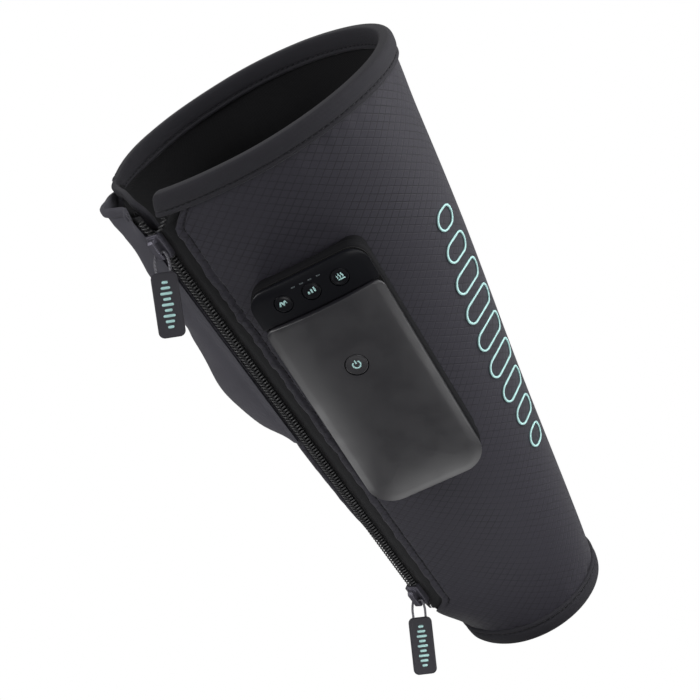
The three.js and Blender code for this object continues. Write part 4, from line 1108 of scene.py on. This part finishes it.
def pull_cord(word, pin, place):
    """The loop of cord: out of the tab, through the crown and back into the tab."""
    beside = CROWN_WIDTH / 2 + CORD_RADIUS + CORD_ROOM
    half = CORD_SPAN / 2
    down = (-CORD_REACH - CORD_IN_TAB, -CORD_REACH, -CORD_REACH / 2)
    route = [place(half, y, 0) for y in down]
    route += [zip_point(pin[0] + side * beside, pin[1], pin[2]) for side in (1, 0, -1)]
    route += [place(-half, y, 0) for y in reversed(down)]
    more = {"replaces": (word + "_pull_cord",), "slot": "pull_cord"}
    tube(word + "_cord", through(route, 60), CORD_RADIUS, 10, "cord", word + "_pull", **more)


def pull_tab(word, place):
    """The rounded rubber tab with its raised bars."""
    width, length, depth = TAB
    top = -CORD_REACH - CORD_ROOM
    levels = []
    for turn in np.linspace(0, math.pi / 2, 5):
        levels.append((TAB_EDGE * (1 - math.sin(turn)), -depth / 2 + TAB_EDGE * (1 - math.cos(turn))))
    levels += [(inset, -z) for inset, z in reversed(levels)]
    levels = [(1.9, -depth / 2 + 0.12)] + levels + [(1.5, depth / 2), (1.9, depth / 2 - 0.14)]
    points = []
    for inset, z in levels:
        low_x, high_x = -width / 2 + inset, width / 2 - inset
        low_y, high_y = top - length + inset, top - inset
        ring = rounded_ring(low_x, high_x, low_y, high_y, TAB_CORNER - inset, TAB_CORNER - inset, 7, 4)
        points.append(place(ring[:, 0], ring[:, 1], z))
    faces = capped_faces(len(points), len(points[0]))
    body = word + "_pull"
    solid(word + "_tab", points, faces, "tab", body, replaces=(word + "_pull_tab",), slot="pull_tab")
    bars = []
    for i, half_length in enumerate(TAB_BARS):
        y = top - length / 2 + (i - 4) * TAB_BAR_SPACING
        outline = capsule(0, y, half_length, TAB_BAR_RADIUS)
        bars.append(plate(outline, depth / 2 - 0.2, depth / 2 + 0.06, place))
    joined(word + "_tab_bars", bars, "mint", body)


# The controller

BOX_CORNERS = (15, 10.5)  # at its foot and its top
COVER_CROWNS = (3.8, 3.8)  # how far the sides and the foot curve back
PANEL_CROWNS = (2.9, 0.0)
POWER_CROWNS = (COVER_CROWNS[0], 0.0)
CROWN_POWER = 2.2
FOOT_CURVE = 42.0  # the stretch over which the foot curves back
WELL_DEPTH = 3.2
WELD = 0.03
ECCENTRIC_ROOM = 7.5
KEY_EDGE = ((0.15, 1.2), (0.15, 0.5), (0.3, 0.28), (0.6, 0.2), (1.0, 0.24))  # inwards, and below the face
KEY_DISH = 0.4
KEY_DISH_SHARES = (0.7, 0.5, 0.3, 0.1)
ICON_LEVEL = -0.5  # from the face round the key
ICON_ROOT = 0.3
ICON_PROUD = 0.04


def bulge(x, y, crowns):
    """How far a face has curved back: little in the middle, more towards its sides and its foot."""
    crown, foot_crown = crowns
    across = np.abs(x) / (BOX_WIDTH / 2)
    down = np.clip((FOOT_CURVE - BOX_TOP - y) / FOOT_CURVE, 0, 1)
    return np.hypot(crown * across**CROWN_POWER, foot_crown * down**CROWN_POWER)


def pillow(name, bounds, radii, front, edges, shares, crowns, finish, **more):
    """A rounded shell: rings that step inwards and forwards from its side to its middle. The edges are how
    far in and how deep its edge curves; the shares are how much of that its foot and its top take."""
    low_x, high_x, low_y, high_y = bounds
    foot_radius, top_radius = radii
    edge_in, edge_deep = edges
    foot_share, top_share = shares
    rise = [(0.0, front - edge_deep - 0.9, 0.0)]
    for turn in np.radians(np.linspace(0, 90, 13)):
        fallen = edge_deep * (1 - math.sin(turn))
        rise.append((edge_in * (1 - math.cos(turn)), front - fallen, math.sin(turn)))
    to_middle = edge_in + (high_y - low_y - edge_in * (foot_share + top_share)) / 2
    reach = min((high_x - low_x) / 2, to_middle)
    rise += [(inset, front, 1.0) for inset in np.linspace(edge_in, reach, 12)[1:]]
    points = []
    for inset, z, share in rise:
        in_edge, past_edge = min(inset, edge_in), max(0.0, inset - edge_in)
        low = low_y + in_edge * foot_share + past_edge
        high = high_y - in_edge * top_share - past_edge
        ring = rounded_ring(low_x + inset, high_x - inset, low, high, foot_radius - inset, top_radius - inset)
        points.append(box_point(ring[:, 0], ring[:, 1], z - share * bulge(ring[:, 0], ring[:, 1], crowns)))
    sides = len(points[0])
    faces = grid_faces(len(points), sides, round_columns=True) + [tuple(reversed(range(sides)))]
    piece = make(name, points, faces, finish, "sleeve", **more)
    reshape(piece, lambda shape: bmesh.ops.remove_doubles(shape, verts=shape.verts, dist=WELD * MM))
    return face_out(piece)


def cut(piece, wells):
    """Takes round wells out of a piece: each is x, y, radius and the depths it runs between."""
    for x, y, radius, floor, top in wells:
        outline = arc(x, y, radius, 0, 360, 65)[:-1]
        points, faces, _ = plate(outline, floor, top, box_point)
        mesh = bpy.data.meshes.new("well")
        mesh.from_pydata(((points + SHIFT) * MM).tolist(), [], faces)
        tool = face_out(shown("well", mesh))
        change = piece.modifiers.new("well", "BOOLEAN")
        change.operation = "DIFFERENCE"
        change.solver = "EXACT"
        change.object = tool
        bpy.context.view_layer.update()
        evaluated = piece.evaluated_get(bpy.context.evaluated_depsgraph_get())
        made = bpy.data.meshes.new_from_object(evaluated)
        piece.modifiers.clear()
        piece.data = made
        bpy.data.objects.remove(tool)
    sharp_edges(piece, 35)


def sharp_edges(piece, degrees):
    """Shades a piece smooth, but for edges that turn more than this."""
    def mark(shape):
        for edge in shape.edges:
            if len(edge.link_faces) == 2:
                edge.smooth = edge.calc_face_angle(0) < math.radians(degrees)
        for face in shape.faces:
            face.smooth = True

    reshape(piece, mark)


def key_cap(name, x, y, radius, front, crowns, finish, slot, ring):
    """A dished cap, a little below the face round it, and the near-black floor of its well: painted shade in
    its groove.
    """
    levels = [(radius - inset, drop) for inset, drop in KEY_EDGE]
    inner_drop = levels[-1][1]
    levels += [(radius * share, inner_drop + KEY_DISH * (1 - share**2)) for share in KEY_DISH_SHARES]
    points = []
    for r, drop in levels:
        circle = arc(x, y, r, 0, 360, 49)[:-1]
        points.append(box_point(circle[:, 0], circle[:, 1], front - drop - bulge(circle[:, 0], y, crowns)))
    faces = capped_faces(len(points), len(points[0]))
    replaced = (name + "_button",)
    piece = solid(name + "_cap", points, faces, finish, name + "_key", replaces=replaced, slot=slot)
    sharp_edges(piece, 50)
    floor = front - WELL_DEPTH
    rim = arc(x, y, radius + ring, 0, 360, 49)[:-1]
    # The well's floor is a near-black plate: painted shade in the groove round the cap.
    joined(name + "_well", [plate(rim, floor - 0.4, floor, box_point)], "groove", "sleeve")


def icon(name, strokes, x, y, front, width, crowns):
    """Thin raised strokes on a key, each a flat ribbon along its points."""
    parts = []
    z = front + ICON_LEVEL - float(bulge(x, y, crowns))
    for stroke in strokes:
        stroke = np.array(stroke, float) + np.array([x, y])
        ahead = unit(np.gradient(stroke, axis=0))
        side = np.stack([-ahead[:, 1], ahead[:, 0]], axis=-1) * width / 2
        outline = np.vstack([stroke + side, (stroke - side)[::-1]])
        points, plate_faces, cloth = plate(outline, z - ICON_ROOT, z + ICON_PROUD, box_point)
        count = len(outline)
        ribbon = [(i, i + 1, count - 2 - i, count - 1 - i) for i in range(count // 2 - 1)]
        faces = [tuple(count + k for k in face) for face in ribbon] + [face[::-1] for face in ribbon]
        parts.append((points, faces + plate_faces[2:], cloth))
    joined(name + "_icon", parts, "mint", name + "_key")


def front_cover():
    """The matt cover, cut for the power key and hollowed behind for the pump's eccentric."""
    half = BOX_WIDTH / 2
    cover = pillow(
        "cover_shell", (-half, half, -BOX_TOP, PANEL_LINE - 0.4), (BOX_CORNERS[0], 5.5), FACE_FRONT,
        (5.0, 4.4), (1.0, 0.16), COVER_CROWNS, "cover", replaces=("front_cover",), slot="casing_plastic",
    )
    eccentric = np.mean(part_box("pump_eccentric"), axis=0) / MM - SHIFT - box_origin
    x, y = eccentric @ box_across, eccentric @ box_up
    cut(cover, [
        (0, POWER_Y, POWER_RADIUS + 0.3, FACE_FRONT - WELL_DEPTH - 0.2, FACE_FRONT + 4),
        (x, y, ECCENTRIC_ROOM, FACE_FRONT - 9, FACE_FRONT - 2.8),
    ])


def control_panel():
    """The glossy strip at the top, cut for its three keys."""
    half = BOX_WIDTH / 2 - 0.25
    panel = pillow(
        "panel_shell", (-half, half, PANEL_LINE - 0.1, BOX_TOP - 0.1), (0.8, BOX_CORNERS[1]), PANEL_FRONT,
        (3.4, 3.0), (0.1, 1.6), PANEL_CROWNS, "gloss", replaces=("control_panel",), slot="gloss_panel",
    )
    wells = []
    for x in (-KEY_SPACING, 0, KEY_SPACING):
        wells.append((x, KEY_Y, KEY_RADIUS + 0.15, PANEL_FRONT - WELL_DEPTH - 0.3, FACE_FRONT + 4))
    cut(panel, wells)


def rear_casing():
    """The back of the box, rounded into its sides."""
    half = BOX_WIDTH / 2
    foot, top = BOX_CORNERS
    levels = [(1.6, 0.0), (0.5, 0.35), (0.1, 1.2), (0.0, 2.4), (0.0, FACE_BACK - 1.2 - REAR_BACK)]
    points = []
    for inset, rise in levels:
        low_x, high_x, low_y, high_y = -half + inset, half - inset, -BOX_TOP + inset, BOX_TOP - inset
        ring = rounded_ring(low_x, high_x, low_y, high_y, foot - inset, top - inset)
        points.append(box_point(ring[:, 0], ring[:, 1], REAR_BACK + rise))
    faces = capped_faces(len(points), len(points[0]))
    solid("rear_shell", points, faces, "casing", "sleeve", replaces=("rear_casing",), slot="casing_plastic")


def keys():
    """Three glossy keys in the panel and the matt power key in the cover."""
    for name, x in (("mode", -KEY_SPACING), ("intensity", 0.0), ("heat", KEY_SPACING)):
        key_cap(name, x, KEY_Y, KEY_RADIUS, PANEL_FRONT, PANEL_CROWNS, "gloss", "gloss_panel", 0.15)
    key_cap("power", 0, POWER_Y, POWER_RADIUS, FACE_FRONT, POWER_CROWNS, "cover", "casing_plastic", 0.3)


def icons():
    """The keys' symbols: two humps of a pulse, rising bars, warm air over a line, and power."""
    humps = np.linspace(0, 2, 25)
    pulse = np.stack([(humps - 1) * 2.2, 2.1 * np.abs(np.sin(humps * math.pi)) - 1.0], axis=-1)
    icon("mode", [pulse], -KEY_SPACING, KEY_Y, PANEL_FRONT, 0.8, PANEL_CROWNS)
    bars = [[(x, -1.3), (x, top)] for x, top in ((-1.7, 0.2), (0, 0.9), (1.7, 1.6))]
    icon("intensity", bars, 0, KEY_Y, PANEL_FRONT, 0.85, PANEL_CROWNS)
    low, high = -0.7, 1.9
    rise = np.linspace(low, high, 12)
    sway = 0.3 * np.sin((rise - low) / (high - low) * math.tau)
    warmth = [np.stack([x + sway, rise], axis=-1) for x in (-1.5, 0, 1.5)]
    warmth.append([(-2.3, -1.5), (2.3, -1.5)])
    icon("heat", warmth, KEY_SPACING, KEY_Y, PANEL_FRONT, 0.65, PANEL_CROWNS)
    power = [arc(0, 0, 2.1, 130, 410, 24), [(0, 0.4), (0, 2.7)]]
    icon("power", power, 0, POWER_Y, FACE_FRONT, 0.8, POWER_CROWNS)


def lamp_windows():
    windows = []
    for i in range(4):
        outline = capsule((i - 1.5) * LIGHT_SPACING, LIGHT_Y, 0.8, 0.35)
        windows.append(plate(outline, PANEL_FRONT - 0.6, PANEL_FRONT + 0.02, box_point))
    joined("lamp_windows", windows, "lamp", "sleeve", replaces=("light_guide",), slot="light_guide")


# The printed pattern on the side: graduated pills, drawn as outlines

PRINT_ANGLE = 341.0
PRINT_TOP = 264.0
PRINT_SPACING = 18.5
PRINT_LENGTHS = (15, 20, 25, 28, 28, 28, 25, 20, 15)
PRINT_RADIUS = 5.6
PRINT_HALF_LINE = 0.55
PRINT_RAILS = ((-1, -0.2), (-1, -0.95), (1, -0.95), (1, -0.2))  # side of the line, and depth


def side_print():
    parts = []
    for i, long in enumerate(PRINT_LENGTHS):
        height = PRINT_TOP - i * PRINT_SPACING
        row_angles, row_run, _, row_front = cloth_row(height)
        outline = capsule(0, 0, long / 2 - PRINT_RADIUS, PRINT_RADIUS, 14)
        outline = np.vstack([outline, outline[:1]])
        ahead = unit(np.gradient(outline, axis=0))
        side = np.stack([-ahead[:, 1], ahead[:, 0]], axis=-1) * PRINT_HALF_LINE
        rails = []
        for offset, depth in PRINT_RAILS:
            line = outline + side * offset
            angles = PRINT_ANGLE + np.degrees(line[:, 0] / wall_radius(PRINT_ANGLE, height, CREST_SOFTNESS))
            line_height = height + line[:, 1]
            lift = sag(np.interp(angles, row_angles, row_run) - row_front, line_height)
            rails.append(wall_point(angles, depth - lift, line_height))
        points = np.stack(rails, axis=1)
        faces = grid_faces(len(outline), len(rails), round_columns=True)
        parts.append((points.reshape(-1, 3), faces, np.repeat(outline, len(rails), axis=0)))
    joined("side_print", parts, "mint", "sleeve")


# The solids that keep their shape

def crisp(node, finish, bevel):
    """A solid of the right shape takes its finish, and its edges are broken where a width is given."""
    piece = frame["nodes"][node]
    piece.data.materials.clear()
    piece.data.materials.append(finishes[finish])
    if bevel:
        piece.modifiers.new("weld", "WELD").merge_threshold = 0.00001
        change = piece.modifiers.new("bevel", "BEVEL")
        change.width = bevel * MM
        change.segments = 2
        change.limit_method = "ANGLE"
        change.angle_limit = math.radians(30)
        piece.data.polygons.foreach_set("use_smooth", [True] * len(piece.data.polygons))
        piece.modifiers.new("shade", "WEIGHTED_NORMAL").keep_sharp = True


def cad_finishes():
    plain = {
        "film": ("lower_air_bladder", "middle_air_bladder", "upper_air_bladder"),
        "felt": ("heating_pad",),
        "hose": ("upper_air_hose", "lower_air_hose"),
        "casing": ("dock_plate",),
        "gasket": ("casing_gasket",),
        "board": ("circuit_board",),
        "cell": ("battery", "air_valve_1", "air_valve_2", "air_valve_3"),
        "natural": ("pump_eccentric", "pump_head", "air_manifold", "air_connector"),
        "steel": (
            "pump_motor", "charging_socket", "mode_switch", "intensity_switch", "heat_switch", "power_switch",
            "casing_screw_1", "casing_screw_2", "casing_screw_3", "casing_screw_4",
        ),
    }
    for finish, nodes in plain.items():
        for node in nodes:
            crisp(node, finish, 0)
    for node in ("upper_slider", "lower_slider"):
        crisp(node, "slider", 0.35)


# The stage

FRAME_PIXELS = 700
VIEW_AZIMUTH = 15.0
VIEW_HEIGHT = 24.0
VIEW_ROLL = -31.4
VIEW_DISTANCE = 838.0
VIEW_FOCUS = 1443.0  # pixels
VIEW_MIDDLE = (-19.3, 25.6)
AIM = np.array([0, 0, 180.0])

azimuth, elevation, roll = (math.radians(v) for v in (VIEW_AZIMUTH, VIEW_HEIGHT, VIEW_ROLL))
view_back = np.array([
    math.sin(azimuth) * math.cos(elevation), -math.cos(azimuth) * math.cos(elevation), math.sin(elevation),
])
view_level = np.array([math.cos(azimuth), math.sin(azimuth), 0])
view_upright = np.cross(view_level, -view_back)
view_right = view_level * math.cos(roll) + view_upright * math.sin(roll)
view_up = -view_level * math.sin(roll) + view_upright * math.cos(roll)


def camera():
    data = bpy.data.cameras.new("camera")
    data.sensor_width = 36
    data.lens = VIEW_FOCUS * data.sensor_width / FRAME_PIXELS
    data.clip_start = 0.01
    holder = shown("camera", data)
    target = AIM + view_level * VIEW_MIDDLE[0] + view_upright * VIEW_MIDDLE[1]
    turned = Matrix([[view_right[i], view_up[i], view_back[i]] for i in range(3)]).to_4x4()
    place = target + view_back * VIEW_DISTANCE
    holder.matrix_world = Matrix.Translation(Vector((place + SHIFT) * MM)) @ turned
    bpy.context.scene.camera = holder


def panel_lamp(name, width, depth, power):
    lamp = bpy.data.lights.new(name, "AREA")
    lamp.shape = "RECTANGLE"
    lamp.size = width
    lamp.size_y = depth
    lamp.energy = power
    return shown(name, lamp)


def softbox(name, toward, distance, size, power):
    """A square panel that stands off and faces the sleeve; distance and size are in metres."""
    toward = unit(toward)
    holder = panel_lamp(name, size, size, power)
    holder.location = Vector((AIM + SHIFT) * MM + toward * distance)
    holder.rotation_euler = Vector(toward).to_track_quat("Z", "Y").to_euler()


def low_panel(name, x, y, width, depth, power):
    """A dim panel that lies on the floor and shines up; only its light is seen."""
    holder = panel_lamp(name, width * MM, depth * MM, power)
    holder.location = ((x + SHIFT[0]) * MM, (y + SHIFT[1]) * MM, 2 * MM)
    holder.rotation_euler = (math.pi, 0, 0)
    holder.visible_camera = False


def lamps():
    softbox("left_softbox", -view_right + view_up * 0.05 + view_back * 0.5, 1.1, 0.6, 4)
    softbox("right_softbox", view_right + view_up * 0.15 + view_back * 0.1, 1.1, 0.9, 22)
    softbox("top_softbox", view_up + view_back * 0.35 + view_right * 0.6, 1.2, 0.9, 7)
    low_panel("left_low_panel", -300, -220, 200, 260, 0.3)
    low_panel("right_low_panel", 230, -330, 180, 240, 0.24)
    low_panel("foot_low_panel", 10, -140, 220, 90, 0.08)
    softbox("front_fill", view_back + view_right * 0.25 - view_up * 0.1, 1.3, 0.7, 2.2)


def white_to_eye(tree, strength, dim):
    """Full strength where it is seen itself, and dimmer where it lights things."""
    seen = tree.nodes.new("ShaderNodeLightPath").outputs["Is Camera Ray"]
    bright = tree.nodes.new("ShaderNodeMapRange")
    bright.inputs["To Min"].default_value = dim
    bright.inputs["To Max"].default_value = 1.0
    tree.links.new(seen, bright.inputs["Value"])
    tree.links.new(bright.outputs["Result"], strength)


def white_room():
    """White all round, and a white floor just under the sleeve."""
    world = bpy.data.worlds.new("studio")
    bpy.context.scene.world = world
    world.use_nodes = True
    background = world.node_tree.nodes["Background"]
    background.inputs["Color"].default_value = (1, 1, 1, 1)
    white_to_eye(world.node_tree, background.inputs["Strength"], 0.2)

    far, below = 6.0, -0.0005
    mesh = bpy.data.meshes.new("floor")
    corners = [(x * far, y * far, below) for x, y in ((-1, -1), (1, -1), (1, 1), (-1, 1))]
    mesh.from_pydata(corners, [], [(0, 1, 2, 3)])
    floor = shown("floor", mesh)
    paint = bpy.data.materials.new("white_floor")
    paint.use_nodes = True
    tree = paint.node_tree
    tree.nodes.clear()
    glow = tree.nodes.new("ShaderNodeEmission")
    white_to_eye(tree, glow.inputs["Strength"], 0.16)
    out = tree.nodes.new("ShaderNodeOutputMaterial")
    tree.links.new(glow.outputs[0], out.inputs["Surface"])
    mesh.materials.append(paint)


camera()
lamps()
white_room()
bpy.context.scene.view_settings.view_transform = "Standard"

cad_finishes()
sleeve_cloth()
lining()
top_binding()
bottom_binding()
guard_flap()
gusset()
zip_tapes()
zip_coils()
pull("upper", part_from - SLIDER_LENGTH / 2, 38)
pull("lower", 3 + SLIDER_LENGTH / 2, 42)
front_cover()
control_panel()
rear_casing()
keys()
icons()
lamp_windows()
side_print()

bpy.context.view_layer.update()
